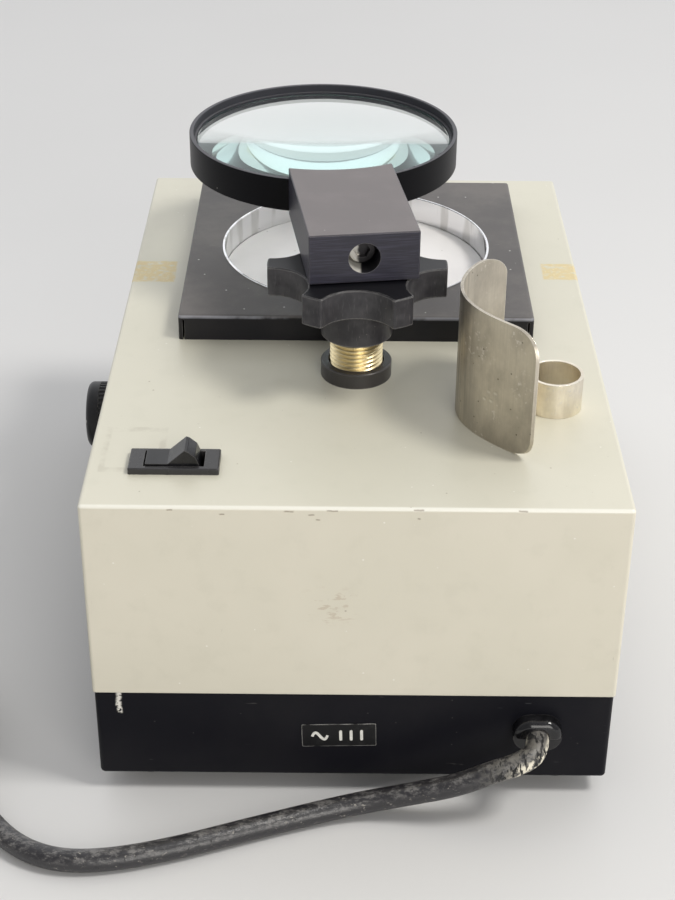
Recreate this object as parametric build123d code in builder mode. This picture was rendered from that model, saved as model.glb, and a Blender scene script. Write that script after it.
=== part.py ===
from build123d import *
import os
from math import cos, pi, radians, sin, sqrt, tan

# Illuminated lens inspection magnifier: a low box with a lit round stage, and a magnifier that
# swings over it on a threaded focusing post.
# Units are millimetres. +X is right and +Y is away from the side where the mains cord comes out.
# The origin is on the bench, under the centre of the box.

# ---- driving dimensions -------------------------------------------------------------------
BOX_W = 177.8  # width of the cover, 7 in
BOX_D = 271.0  # depth of the cover
COVER_H = 75.4  # height of the painted cover
BASE_H = 36.2  # height of the black base under the cover
FOOT_H = 7.0  # rubber feet under the base
SHEET = 1.5  # steel sheet of the cover and the base
BASE_INSET = 0.5  # how far the base stands back from the cover's faces

BASE_Z = FOOT_H  # underside of the base
SEAM_Z = BASE_Z + BASE_H  # lower edge of the cover
TOP_Z = SEAM_Z + COVER_H  # top face of the cover
CEIL_Z = TOP_Z - SHEET  # inner face of the cover's top
FLOOR_Z = BASE_Z + SHEET  # inner face of the base's floor
FRONT_Y = -BOX_D / 2  # cord side of the cover
BASE_FRONT_Y = FRONT_Y + BASE_INSET
WALL_X = BOX_W / 2  # outer face of the cover's side walls

# stage
STAGE_Y = 43.7
PAN_W, PAN_D, PAN_H, PAN_T = 132.0, 129.8, 10.0, 1.6
WELL_R = 52.3  # inside of the polished ring
WELL_WALL = 1.0
RING_UP = 0.4  # the ring's edge stands this far above the plate

# focusing post
POST_Y = -45.5
COLLAR_R, COLLAR_H = 12.7, 5.7
COLLAR_SEAT = 3.2  # height of the recess floor inside the collar
THREAD_R, THREAD_PITCH, THREAD_DEPTH = 9.525, 1.5875, 0.85
SLEEVE_TOP = 29.0  # brass sleeve's top above the cover
SHANK_R = 8.0
ROD_R = 5.0
HUB_R, HUB_BOTTOM = 12.7, 16.3
STAR_R, STAR_BOTTOM, STAR_TOP = 31.5, 32.2, 43.1
LOBES = 6
WASHER_T = 0.4

# magnifier arm
ARM_YAW = 8.1  # degrees the arm stands to the left of straight back
ARM_W, ARM_H = 38.1, 18.0
ARM_BACK = 16.0  # near face of the block, in front of the post's axis
ARM_BOTTOM = STAR_TOP + WASHER_T
RING_REACH = 93.0  # post axis to the centre of the lens
RING_R, RING_WALL, RING_H = 52.0, 1.7, 12.5
RING_LIFT = 1.2  # the ring hangs this far above the underside of the arm
LENS_R, LENS_EDGE, LENS_CURVE = 50.1, 2.4, 290.0
LENS_DROP = 4.0  # lens edge below the top of its ring

# rocker switch, in the cover's top at the near left
SWITCH_X, SWITCH_Y = -59.9, -109.9
BEZEL_W, BEZEL_D, BEZEL_T = 29.9, 13.2, 2.3
WINDOW_W, WINDOW_D = 19.9, 9.8
PIVOT_DROP = 4.0  # rocker's pivot below the cover's top face

# dimmer, in the left wall of the cover
DIMMER_Y, DIMMER_Z = -11.5, 80.6
KNOB_R, KNOB_L = 12.7, 14.0
DIMMER_SHAFT_R = 3.0

# mains cord
CORD_R = 3.9
GLAND_X, GLAND_Z = 63.0, 28.2
GLAND_W, GLAND_HT, GLAND_L = 17.0, 13.4, 5.2
GLAND_STEP = 1.8  # its lower half stops this far short of the upper half
COIL_X, COIL_Y = -186.0, -112.0
COIL_TURN_R = (39.1, 46.9)  # inner and outer turns
COIL_LAYERS = 3
PLUG_HALF = 11.0  # half the height of the plug's body

# loose metal guard that stands on the cover
GUARD_H, GUARD_T, GUARD_CORNER = 46.5, 1.0, 9.0
FINGER_X, FINGER_Y, FINGER_R, FINGER_H, FINGER_T = 69.0, -68.5, 9.6, 13.0, 1.1

os.makedirs("parts", exist_ok=True)


def save(piece, node):
    """Label a finished piece and write it to its own file."""
    piece.part.label = node
    export_step(piece.part, f"parts/{node}.step")
    print(node, len(piece.part.solids()), round(piece.part.volume, 1))


# ---- box: base, cover and what holds them together ----------------------------------------
BASE_W, BASE_D = BOX_W - 2 * BASE_INSET, BOX_D - 2 * BASE_INSET
FOOT_X, FOOT_Y, FOOT_R = 72.0, 117.0, 9.5
COVER_SCREW_Y, COVER_SCREW_Z = 100.0, SEAM_Z + 7.0
VENT_COUNT, VENT_PITCH = 7, 9.0

with BuildPart() as base_tray:
    with BuildSketch(Plane.XY.offset(BASE_Z)):
        RectangleRounded(BASE_W, BASE_D, 1.8)
    extrude(amount=BASE_H - 0.2)
    fillet(base_tray.faces().sort_by(Axis.Z)[0].edges(), 1.2)
    with BuildSketch(Plane.XY.offset(FLOOR_Z)):
        RectangleRounded(BASE_W - 2 * SHEET, BASE_D - 2 * SHEET, 0.8)
    extrude(amount=BASE_H, mode=Mode.SUBTRACT)
    with BuildSketch(Plane.XY.offset(BASE_Z - 1)):
        with GridLocations(2 * FOOT_X, 2 * FOOT_Y, 2, 2):
            Circle(2.1)
        with Locations((0, STAGE_Y)):
            with GridLocations(0, VENT_PITCH, 1, VENT_COUNT):
                SlotOverall(46, 3.2)
    extrude(amount=SHEET + 2, mode=Mode.SUBTRACT)
    with BuildSketch(Plane.XZ.offset(-BASE_FRONT_Y + 1)):
        with Locations((GLAND_X, GLAND_Z)):
            SlotOverall(15.0, 7.4)
    extrude(amount=-(SHEET + 2), mode=Mode.SUBTRACT)
save(base_tray, "base_tray")

with BuildPart() as housing_cover:
    with BuildSketch(Plane.XY.offset(SEAM_Z)):
        RectangleRounded(BOX_W, BOX_D, 1.3)
    extrude(amount=COVER_H)
    fillet(housing_cover.faces().sort_by(Axis.Z)[-1].edges(), 1.2)
    with BuildSketch(Plane.XY.offset(SEAM_Z)):
        RectangleRounded(BOX_W - 2 * SHEET, BOX_D - 2 * SHEET, 0.4)
    extrude(amount=COVER_H - SHEET, mode=Mode.SUBTRACT)
    with BuildSketch(Plane.XY.offset(TOP_Z + 1)):
        with Locations((0, STAGE_Y)):
            Circle(WELL_R + WELL_WALL + 0.15)
            with GridLocations(112, 110, 2, 2):
                Circle(2.2)
        with Locations((0, POST_Y)):
            Circle(SHANK_R + 0.1)
        with Locations((SWITCH_X, SWITCH_Y)):
            Rectangle(27.4, 11.7)
    extrude(amount=-(SHEET + 2), mode=Mode.SUBTRACT)
    with BuildSketch(Plane.YZ.offset(-WALL_X - 1)):
        with Locations((DIMMER_Y, DIMMER_Z)):
            Circle(4.9)
    extrude(amount=SHEET + 2, mode=Mode.SUBTRACT)
    with BuildSketch(Plane.YZ.offset(-WALL_X - 1)):
        with Locations((0, COVER_SCREW_Z)):
            with GridLocations(2 * COVER_SCREW_Y, 0, 2, 1):
                Circle(2.1)
    extrude(amount=BOX_W + 2, mode=Mode.SUBTRACT)
save(housing_cover, "housing_cover")

BRACKET_X = BASE_W / 2 - SHEET  # inner face of the base's side walls
with BuildPart() as cover_brackets:
    with BuildSketch(Plane.XY.offset(FLOOR_Z + 4)):
        with GridLocations(2 * BRACKET_X - SHEET, 2 * COVER_SCREW_Y, 2, 2):
            Rectangle(SHEET, 22)
    extrude(amount=COVER_SCREW_Z + 8 - FLOOR_Z - 4)
    with BuildSketch(Plane.YZ.offset(-WALL_X)):
        with Locations((0, COVER_SCREW_Z)):
            with GridLocations(2 * COVER_SCREW_Y, 0, 2, 1):
                Circle(1.62)
    extrude(amount=BOX_W, mode=Mode.SUBTRACT)
save(cover_brackets, "cover_brackets")

with BuildPart() as cover_screws:
    for side in (-1, 1):
        head_plane = Plane(origin=(side * WALL_X, 0, COVER_SCREW_Z), x_dir=(0, 1, 0), z_dir=(side, 0, 0))
        with BuildSketch(head_plane):
            with GridLocations(2 * COVER_SCREW_Y, 0, 2, 1):
                Circle(3.6)
        extrude(amount=2.0)
        with BuildSketch(head_plane):
            with GridLocations(2 * COVER_SCREW_Y, 0, 2, 1):
                Circle(1.6)
        extrude(amount=-6.5)
        with BuildSketch(head_plane.offset(2.0)):
            with GridLocations(2 * COVER_SCREW_Y, 0, 2, 1):
                Rectangle(0.9, 4.4)
                Rectangle(4.4, 0.9)
        extrude(amount=-1.1, mode=Mode.SUBTRACT)
save(cover_screws, "cover_screws")

with BuildPart() as rubber_feet:
    with BuildSketch(Plane.XY):
        with GridLocations(2 * FOOT_X, 2 * FOOT_Y, 2, 2):
            Circle(FOOT_R)
    extrude(amount=FOOT_H, taper=-6)
    with BuildSketch(Plane.XY.offset(-1)):
        with GridLocations(2 * FOOT_X, 2 * FOOT_Y, 2, 2):
            Circle(4.4)
    extrude(amount=1 + 3.6, mode=Mode.SUBTRACT)
    with BuildSketch(Plane.XY.offset(-1)):
        with GridLocations(2 * FOOT_X, 2 * FOOT_Y, 2, 2):
            Circle(2.05)
    extrude(amount=FOOT_H + 2, mode=Mode.SUBTRACT)
save(rubber_feet, "rubber_feet")

with BuildPart() as foot_screws:
    with BuildSketch(Plane.XY.offset(1.4)):
        with GridLocations(2 * FOOT_X, 2 * FOOT_Y, 2, 2):
            Circle(3.9)
    extrude(amount=2.2)
    with BuildSketch(Plane.XY.offset(3.6)):
        with GridLocations(2 * FOOT_X, 2 * FOOT_Y, 2, 2):
            Circle(2.0)
    extrude(amount=9.0)
    with BuildSketch(Plane.XY.offset(FLOOR_Z)):
        with GridLocations(2 * FOOT_X, 2 * FOOT_Y, 2, 2):
            RegularPolygon(4.0, 6)
    extrude(amount=3.0)
    with BuildSketch(Plane.XY.offset(1.4)):
        with GridLocations(2 * FOOT_X, 2 * FOOT_Y, 2, 2):
            Rectangle(4.6, 0.9)
            Rectangle(0.9, 4.6)
    extrude(amount=1.2, mode=Mode.SUBTRACT)
save(foot_screws, "foot_screws")

# ---- stage: plate, polished ring, diffuser and lamp ---------------------------------------
STUD_X, STUD_Y, STUD_R = 56.0, 55.0, 2.0

with BuildPart() as stage_pan:
    with BuildSketch(Plane.XY.offset(TOP_Z)):
        with Locations((0, STAGE_Y)):
            RectangleRounded(PAN_W, PAN_D, 1.2)
    extrude(amount=PAN_H)
    fillet(stage_pan.faces().sort_by(Axis.Z)[-1].edges(), 1.0)
    with BuildSketch(Plane.XY.offset(TOP_Z)):
        with Locations((0, STAGE_Y)):
            Rectangle(PAN_W - 2 * PAN_T, PAN_D - 2 * PAN_T)
    extrude(amount=PAN_H - PAN_T, mode=Mode.SUBTRACT)
    with BuildSketch(Plane.XY.offset(TOP_Z - 1)):
        with Locations((0, STAGE_Y)):
            Circle(WELL_R + WELL_WALL + 0.05)
    extrude(amount=PAN_H + 2, mode=Mode.SUBTRACT)
    # the folded flanges don't quite meet, so each corner shows a narrow slit
    with BuildSketch(Plane.XY.offset(TOP_Z - 1)):
        with Locations((0, STAGE_Y)):
            with GridLocations(PAN_W - 2 * PAN_T - 0.7, PAN_D, 2, 2):
                Rectangle(0.7, 2 * PAN_T + 1)
    extrude(amount=PAN_H - 1.9 + 1, mode=Mode.SUBTRACT)
save(stage_pan, "stage_pan")

with BuildPart() as stage_studs:
    with BuildSketch(Plane.XY.offset(TOP_Z - 9)):
        with Locations((0, STAGE_Y)):
            with GridLocations(2 * STUD_X, 2 * STUD_Y, 2, 2):
                Circle(STUD_R)
    extrude(amount=9 + PAN_H - PAN_T)
save(stage_studs, "stage_studs")

with BuildPart() as stage_nuts:
    with BuildSketch(Plane.XY.offset(CEIL_Z - 4.0)):
        with Locations((0, STAGE_Y)):
            with GridLocations(2 * STUD_X, 2 * STUD_Y, 2, 2):
                RegularPolygon(4.0, 6)
    extrude(amount=3.2)
    with BuildSketch(Plane.XY.offset(CEIL_Z - 0.8)):
        with Locations((0, STAGE_Y)):
            with GridLocations(2 * STUD_X, 2 * STUD_Y, 2, 2):
                Circle(4.5)
    extrude(amount=0.8)
    with BuildSketch(Plane.XY.offset(CEIL_Z - 5)):
        with Locations((0, STAGE_Y)):
            with GridLocations(2 * STUD_X, 2 * STUD_Y, 2, 2):
                Circle(STUD_R + 0.03)
    extrude(amount=6, mode=Mode.SUBTRACT)
save(stage_nuts, "stage_nuts")

DISC_R, DISC_T = WELL_R - 0.1, 3.0
DISC_TOP = TOP_Z - 0.1
LIP_T = 1.2
with BuildPart() as stage_ring:
    with BuildSketch(Plane.XZ) as ring_section:
        with BuildLine():
            Polyline(
                (WELL_R, TOP_Z + PAN_H + RING_UP),
                (WELL_R + WELL_WALL, TOP_Z + PAN_H + RING_UP),
                (WELL_R + WELL_WALL, TOP_Z + 1.0),
                (WELL_R + 6.0, TOP_Z + 1.0),
                (WELL_R + 6.0, TOP_Z + 0.05),
                (WELL_R + WELL_WALL, TOP_Z + 0.05),
                (WELL_R + WELL_WALL, DISC_TOP - DISC_T - LIP_T),
                (WELL_R - 3.0, DISC_TOP - DISC_T - LIP_T),
                (WELL_R - 3.0, DISC_TOP - DISC_T),
                (WELL_R, DISC_TOP - DISC_T),
                close=True,
            )
        make_face()
    revolve(axis=Axis.Z)
    fillet(stage_ring.edges().filter_by(GeomType.CIRCLE).group_by(Axis.Z)[-1], 0.3)
stage_ring.part = stage_ring.part.moved(Location((0, STAGE_Y, 0)))
save(stage_ring, "stage_ring")

with BuildPart() as diffuser_disc:
    with BuildSketch(Plane.XY.offset(DISC_TOP - DISC_T)):
        with Locations((0, STAGE_Y)):
            Circle(DISC_R)
    extrude(amount=DISC_T)
    fillet(diffuser_disc.edges().group_by(Axis.Z)[-1], 0.4)
save(diffuser_disc, "diffuser_disc")

BOWL_TOP_R, BOWL_BOTTOM_R, BOWL_Z, BOWL_T = 55.5, 22.0, 68.0, 1.0
SOCKET_R = 15.0
BULB_TOP, BULB_R = 107.0, 17.0

with BuildPart() as lamp_reflector:
    with BuildSketch(Plane.XZ):
        with BuildLine():
            Polyline(
                (BOWL_TOP_R, CEIL_Z - 0.05),
                (BOWL_TOP_R + 9, CEIL_Z - 0.05),
                (BOWL_TOP_R + 9, CEIL_Z - BOWL_T),
                (BOWL_TOP_R + BOWL_T, CEIL_Z - BOWL_T),
                (BOWL_BOTTOM_R + BOWL_T, BOWL_Z),
                (SOCKET_R + 0.3, BOWL_Z),
                (SOCKET_R + 0.3, BOWL_Z + BOWL_T),
                (BOWL_BOTTOM_R, BOWL_Z + BOWL_T),
                close=True,
            )
        make_face()
    revolve(axis=Axis.Z)
lamp_reflector.part = lamp_reflector.part.moved(Location((0, STAGE_Y, 0)))
save(lamp_reflector, "lamp_reflector")

STAND_TOP = 44.0
with BuildPart() as lamp_stand:
    with BuildSketch(Plane.XZ.offset(-STAGE_Y + 17)):
        with BuildLine():
            Polyline(
                (-38, FLOOR_Z),
                (-20, FLOOR_Z),
                (-20, STAND_TOP - SHEET),
                (20, STAND_TOP - SHEET),
                (20, FLOOR_Z),
                (38, FLOOR_Z),
                (38, FLOOR_Z + SHEET),
                (20 + SHEET, FLOOR_Z + SHEET),
                (20 + SHEET, STAND_TOP),
                (-20 - SHEET, STAND_TOP),
                (-20 - SHEET, FLOOR_Z + SHEET),
                (-38, FLOOR_Z + SHEET),
                close=True,
            )
        make_face()
    extrude(amount=-34)
save(lamp_stand, "lamp_stand")

with BuildPart() as lamp_socket:
    with BuildSketch(Plane.XY.offset(STAND_TOP)):
        with Locations((0, STAGE_Y)):
            Circle(SOCKET_R)
    extrude(amount=BOWL_Z + 6 - STAND_TOP)
    with BuildSketch(Plane.XY.offset(BOWL_Z - 3)):
        with Locations((0, STAGE_Y)):
            Circle(SOCKET_R + 4)
    extrude(amount=2.9)
    with BuildSketch(Plane.XY.offset(STAND_TOP + 8)):
        with Locations((0, STAGE_Y)):
            Circle(8.8)
    extrude(amount=40, mode=Mode.SUBTRACT)
save(lamp_socket, "lamp_socket")

with BuildPart() as lamp_bulb:
    with Locations((0, STAGE_Y, BULB_TOP - BULB_R)):
        Sphere(BULB_R)
    with BuildSketch(Plane.XY.offset(STAND_TOP + 8.2)):
        with Locations((0, STAGE_Y)):
            Circle(8.6)
    extrude(amount=BULB_TOP - BULB_R - STAND_TOP - 8.2)
save(lamp_bulb, "lamp_bulb")

# ---- transformer, terminals and wiring inside the base -------------------------------------
CORE_X, CORE_Y, CORE_W, CORE_L, CORE_H = 44.0, -84.0, 57.0, 30.0, 48.0
CORE_FOOT = 40.0  # end of the frame's feet, from the core's middle
LIMB, WINDOW = 9.5, 9.5
CORE_Z = FLOOR_Z + SHEET

with BuildPart() as transformer_core:
    with BuildSketch(Plane.XZ.offset(-CORE_Y + CORE_L / 2)):
        with Locations((CORE_X, CORE_Z + CORE_H / 2)):
            Rectangle(CORE_W, CORE_H)
            with GridLocations(2 * LIMB + WINDOW, 0, 2, 1):
                Rectangle(WINDOW, CORE_H - 2 * LIMB, mode=Mode.SUBTRACT)
    extrude(amount=-CORE_L)
save(transformer_core, "transformer_core")

with BuildPart() as transformer_coil:
    with BuildSketch(Plane.XY.offset(CORE_Z + LIMB + 0.3)):
        with Locations((CORE_X, CORE_Y)):
            RectangleRounded(2 * LIMB + 2 * WINDOW - 0.6, CORE_L + 2 * WINDOW, 5)
            Rectangle(2 * LIMB + 0.3, CORE_L + 0.3, mode=Mode.SUBTRACT)
    extrude(amount=CORE_H - 2 * LIMB - 0.6)
save(transformer_coil, "transformer_coil")

with BuildPart() as transformer_frame:
    with BuildSketch(Plane.XZ.offset(-CORE_Y + CORE_L / 2 - 3)):
        with BuildLine():
            Polyline(
                (CORE_X - CORE_FOOT, FLOOR_Z),
                (CORE_X + CORE_FOOT, FLOOR_Z),
                (CORE_X + CORE_FOOT, FLOOR_Z + SHEET),
                (CORE_X + CORE_W / 2 + SHEET, FLOOR_Z + SHEET),
                (CORE_X + CORE_W / 2 + SHEET, CORE_Z + CORE_H + SHEET),
                (CORE_X - CORE_W / 2 - SHEET, CORE_Z + CORE_H + SHEET),
                (CORE_X - CORE_W / 2 - SHEET, FLOOR_Z + SHEET),
                (CORE_X - CORE_FOOT, FLOOR_Z + SHEET),
                close=True,
            )
        make_face()
        with Locations((CORE_X, CORE_Z + CORE_H / 2)):
            Rectangle(CORE_W, CORE_H, mode=Mode.SUBTRACT)
    extrude(amount=-(CORE_L - 6))
save(transformer_frame, "transformer_frame")

with BuildPart() as chassis_screws:
    with BuildSketch(Plane.XY.offset(FLOOR_Z + SHEET)):
        with Locations((CORE_X, CORE_Y)):
            with GridLocations(2 * CORE_FOOT - 11, 0, 2, 1):
                RegularPolygon(3.6, 6)
        with Locations((0, STAGE_Y)):
            with GridLocations(62, 0, 2, 1):
                RegularPolygon(3.6, 6)
    extrude(amount=2.6)
save(chassis_screws, "chassis_screws")

STRIP_X, STRIP_Y = -8.0, -112.0
with BuildPart() as terminal_strip:
    with BuildSketch(Plane.XY.offset(FLOOR_Z)):
        with Locations((STRIP_X, STRIP_Y)):
            Rectangle(52, 16)
    extrude(amount=5)
    with BuildSketch(Plane.XY.offset(FLOOR_Z + 5)):
        with Locations((STRIP_X, STRIP_Y)):
            with GridLocations(10, 0, 6, 1):
                Rectangle(1.4, 16)
    extrude(amount=6)
save(terminal_strip, "terminal_strip")

with BuildPart() as terminal_screws:
    with BuildSketch(Plane.XY.offset(FLOOR_Z + 5)):
        with Locations((STRIP_X, STRIP_Y)):
            with GridLocations(10, 8, 5, 2):
                Circle(2.7)
    extrude(amount=2.2)
    with BuildSketch(Plane.XY.offset(FLOOR_Z + 7.2)):
        with Locations((STRIP_X, STRIP_Y)):
            with GridLocations(10, 8, 5, 2):
                Rectangle(4.2, 0.7)
    extrude(amount=-0.8, mode=Mode.SUBTRACT)
save(terminal_screws, "terminal_screws")

GROUND_X, GROUND_Y = 78.0, -42.0
with BuildPart() as ground_screw:
    with BuildSketch(Plane.XY.offset(FLOOR_Z)):
        with Locations((GROUND_X, GROUND_Y)):
            Circle(5.0)
    extrude(amount=0.8)
    with BuildSketch(Plane.XY.offset(FLOOR_Z + 0.8)):
        with Locations((GROUND_X, GROUND_Y)):
            RegularPolygon(4.0, 6)
    extrude(amount=3.2)
    with BuildSketch(Plane.XY.offset(FLOOR_Z + 4)):
        with Locations((GROUND_X, GROUND_Y)):
            Circle(2.0)
    extrude(amount=4)
save(ground_screw, "ground_screw")

# ---- rocker switch --------------------------------------------------------------------------
PIVOT_Z = TOP_Z - PIVOT_DROP
BODY_W, BODY_D, BODY_L = 27.0, 11.4, 17.0  # switch body below the cover's top
ROCKER_D = 9.4
ROCKER_PLANE = Plane(origin=(SWITCH_X, SWITCH_Y, PIVOT_Z), x_dir=(1, 0, 0), z_dir=(0, -1, 0))

with BuildPart() as switch_bezel:
    with BuildSketch(Plane.XY.offset(TOP_Z)):
        with Locations((SWITCH_X, SWITCH_Y)):
            RectangleRounded(BEZEL_W, BEZEL_D, 0.6)
    extrude(amount=BEZEL_T)
    fillet(switch_bezel.faces().sort_by(Axis.Z)[-1].edges(), 0.5)
    with BuildSketch(Plane.XY.offset(TOP_Z)):
        with Locations((SWITCH_X, SWITCH_Y)):
            Rectangle(BODY_W, BODY_D)
    extrude(amount=-BODY_L)
    with BuildSketch(Plane.XY.offset(TOP_Z + BEZEL_T + 1)):
        with Locations((SWITCH_X, SWITCH_Y)):
            Rectangle(WINDOW_W, WINDOW_D)
    extrude(amount=-(BEZEL_T + 6), mode=Mode.SUBTRACT)
    with BuildSketch(Plane.XY.offset(TOP_Z + BEZEL_T - 0.8)):
        with Locations((SWITCH_X, SWITCH_Y)):
            Rectangle(23.0, WINDOW_D)
    extrude(amount=-14, mode=Mode.SUBTRACT)
    with BuildSketch(Plane.XZ.offset(-SWITCH_Y + BODY_D)):
        with Locations((SWITCH_X, PIVOT_Z)):
            Circle(1.26)
    extrude(amount=-2 * BODY_D, mode=Mode.SUBTRACT)
save(switch_bezel, "switch_bezel")

with BuildPart() as switch_rocker:
    with BuildSketch(ROCKER_PLANE.offset(ROCKER_D / 2)):
        with BuildLine():
            Polyline(
                (-9.3, 7.0),
                (-1.9, 7.0),
                (3.7, 12.0),
                (4.7, 11.7),
                (7.2, 9.6),
                (8.3, 7.0),
                (8.9, 3.5),
                (4.5, -2.0),
                (-4.5, -2.0),
                (-9.3, 3.5),
                close=True,
            )
        make_face()
    extrude(amount=-ROCKER_D)
    with BuildSketch(ROCKER_PLANE.offset(BODY_D / 2)):
        Circle(1.2)
    extrude(amount=-BODY_D)
save(switch_rocker, "switch_rocker")

with BuildPart() as switch_terminals:
    with BuildSketch(Plane.XY.offset(TOP_Z - BODY_L)):
        with Locations((SWITCH_X, SWITCH_Y)):
            with GridLocations(16, 0, 2, 1):
                Rectangle(0.8, 6.3)
    extrude(amount=-9)
save(switch_terminals, "switch_terminals")

# ---- dimmer ---------------------------------------------------------------------------------
DIMMER_PLANE = Plane(origin=(-WALL_X, DIMMER_Y, DIMMER_Z), x_dir=(0, -1, 0), z_dir=(-1, 0, 0))
POINTER_ANGLE = 15.0  # degrees above straight towards the cord side
FLUTES = 40
BAND_L = 9.3  # fluted band, next to the box
NUT_T = 2.2

with BuildPart() as dimmer_body:
    with BuildSketch(DIMMER_PLANE.offset(-SHEET)):
        Circle(21)
    extrude(amount=-17)
    with BuildSketch(DIMMER_PLANE.offset(-SHEET)):
        Circle(4.75)
    extrude(amount=SHEET + 5)
    with BuildSketch(DIMMER_PLANE.offset(-SHEET - 17)):
        with Locations((0, -22)):
            with GridLocations(9, 0, 3, 1):
                Rectangle(5, 9)
    extrude(amount=1.0)
    with BuildSketch(DIMMER_PLANE.offset(6)):
        Circle(DIMMER_SHAFT_R + 0.05)
    extrude(amount=-26, mode=Mode.SUBTRACT)
save(dimmer_body, "dimmer_body")

with BuildPart() as dimmer_nut:
    with BuildSketch(DIMMER_PLANE):
        RegularPolygon(7.0, 6)
        Circle(4.78, mode=Mode.SUBTRACT)
    extrude(amount=NUT_T)
save(dimmer_nut, "dimmer_nut")

with BuildPart() as dimmer_shaft:
    with BuildSketch(DIMMER_PLANE.offset(-SHEET - 17)):
        Circle(DIMMER_SHAFT_R)
    extrude(amount=SHEET + 17 + 12)
save(dimmer_shaft, "dimmer_shaft")

with BuildPart() as dimmer_knob:
    with BuildSketch(DIMMER_PLANE.offset(0.8)):
        Circle(KNOB_R)
    extrude(amount=KNOB_L - 0.8)
    fillet(dimmer_knob.faces().sort_by(Axis.X)[0].edges(), 2.2)
    with BuildSketch(DIMMER_PLANE.offset(0.8)):
        with PolarLocations(KNOB_R + 0.25, FLUTES):
            Circle(0.75)
    extrude(amount=BAND_L - 0.8, mode=Mode.SUBTRACT)
    with BuildSketch(DIMMER_PLANE.offset(0.8)):
        Circle(8.4)
    extrude(amount=NUT_T + 2.5, mode=Mode.SUBTRACT)
    with BuildSketch(DIMMER_PLANE.offset(0.8)):
        Circle(DIMMER_SHAFT_R + 0.02)
    extrude(amount=11.3, mode=Mode.SUBTRACT)
    pointer_dir = (0, -cos(radians(POINTER_ANGLE)), sin(radians(POINTER_ANGLE)))
    slot_plane = Plane(origin=(-WALL_X - KNOB_L, DIMMER_Y, DIMMER_Z), x_dir=pointer_dir, z_dir=(-1, 0, 0))
    with BuildSketch(slot_plane):
        with Locations((KNOB_R - 4.2, 0)):
            Rectangle(9.0, 1.2)
    extrude(amount=-0.5, mode=Mode.SUBTRACT)
    screw_plane = Plane(
        origin=(-WALL_X - 7.4, DIMMER_Y, DIMMER_Z), x_dir=(1, 0, 0), z_dir=(0, 0, -1)
    )
    with BuildSketch(screw_plane.offset(KNOB_R + 1)):
        Circle(1.5)
    extrude(amount=-(KNOB_R - DIMMER_SHAFT_R + 0.9), mode=Mode.SUBTRACT)
save(dimmer_knob, "dimmer_knob")

with BuildPart() as knob_pointer:
    with BuildSketch(slot_plane.offset(-0.45)):
        with Locations((KNOB_R - 5.2, 0)):
            Rectangle(6.0, 1.1)
    extrude(amount=0.45)
save(knob_pointer, "knob_pointer")

with BuildPart() as knob_set_screw:
    with BuildSketch(screw_plane.offset(DIMMER_SHAFT_R + 0.1)):
        Circle(1.45)
    extrude(amount=5.0)
    with BuildSketch(screw_plane.offset(DIMMER_SHAFT_R + 5.1)):
        RegularPolygon(0.8, 6)
    extrude(amount=-1.5, mode=Mode.SUBTRACT)
save(knob_set_screw, "knob_set_screw")

# ---- focusing post ---------------------------------------------------------------------------
NUT_TOP = CEIL_Z - 3.0

with BuildPart() as focus_collar:
    with BuildSketch(Plane.XY.offset(TOP_Z)):
        with Locations((0, POST_Y)):
            Circle(COLLAR_R)
    extrude(amount=COLLAR_H)
    chamfer(focus_collar.faces().sort_by(Axis.Z)[-1].edges(), 0.35)
    with BuildSketch(Plane.XY.offset(TOP_Z + COLLAR_SEAT)):
        with Locations((0, POST_Y)):
            Circle(10.0)
    extrude(amount=COLLAR_H, mode=Mode.SUBTRACT)
    with BuildSketch(Plane.XY.offset(TOP_Z - 1)):
        with Locations((0, POST_Y)):
            Circle(SHANK_R + 0.04)
    extrude(amount=COLLAR_H, mode=Mode.SUBTRACT)
save(focus_collar, "focus_collar")


def thread_profile(low, high):
    """Half section of a threaded outside wall from low to high, as (radius, height) points."""
    points = [(THREAD_R - THREAD_DEPTH, low)]
    height = low + THREAD_PITCH / 2
    while height + THREAD_PITCH / 2 <= high:
        points.append((THREAD_R, height - 0.15))
        points.append((THREAD_R, height + 0.15))
        points.append((THREAD_R - THREAD_DEPTH, height + THREAD_PITCH / 2))
        height += THREAD_PITCH
    return points


SLEEVE_LOW = -13.0
with BuildPart() as focus_screw:
    with BuildSketch(Plane.XZ):
        with BuildLine():
            wall = thread_profile(TOP_Z + COLLAR_SEAT, TOP_Z + SLEEVE_TOP)
            Polyline(
                (ROD_R + 0.05, TOP_Z + SLEEVE_LOW),
                (SHANK_R, TOP_Z + SLEEVE_LOW),
                (SHANK_R, TOP_Z + COLLAR_SEAT),
                *wall,
                (wall[-1][0], TOP_Z + SLEEVE_TOP),
                (ROD_R + 0.05, TOP_Z + SLEEVE_TOP),
                close=True,
            )
        make_face()
    revolve(axis=Axis.Z)
focus_screw.part = focus_screw.part.moved(Location((0, POST_Y, 0)))
save(focus_screw, "focus_screw")

with BuildPart() as focus_backplate:
    with BuildSketch(Plane.XY.offset(NUT_TOP)):
        with Locations((0, POST_Y)):
            Rectangle(70, 46)
            Circle(SHANK_R + 0.1, mode=Mode.SUBTRACT)
    extrude(amount=3.0)
save(focus_backplate, "focus_backplate")

with BuildPart() as focus_nut:
    with BuildSketch(Plane.XY.offset(NUT_TOP)):
        with Locations((0, POST_Y)):
            RegularPolygon(13.8, 6)
            Circle(SHANK_R + 0.03, mode=Mode.SUBTRACT)
    extrude(amount=-6.5)
save(focus_nut, "focus_nut")

# ---- focusing knob and magnifier arm ---------------------------------------------------------
SCALLOP_R = 13.4
SCALLOP_BOTTOM = 21.5
KNOB_CEILING = 39.5

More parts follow.
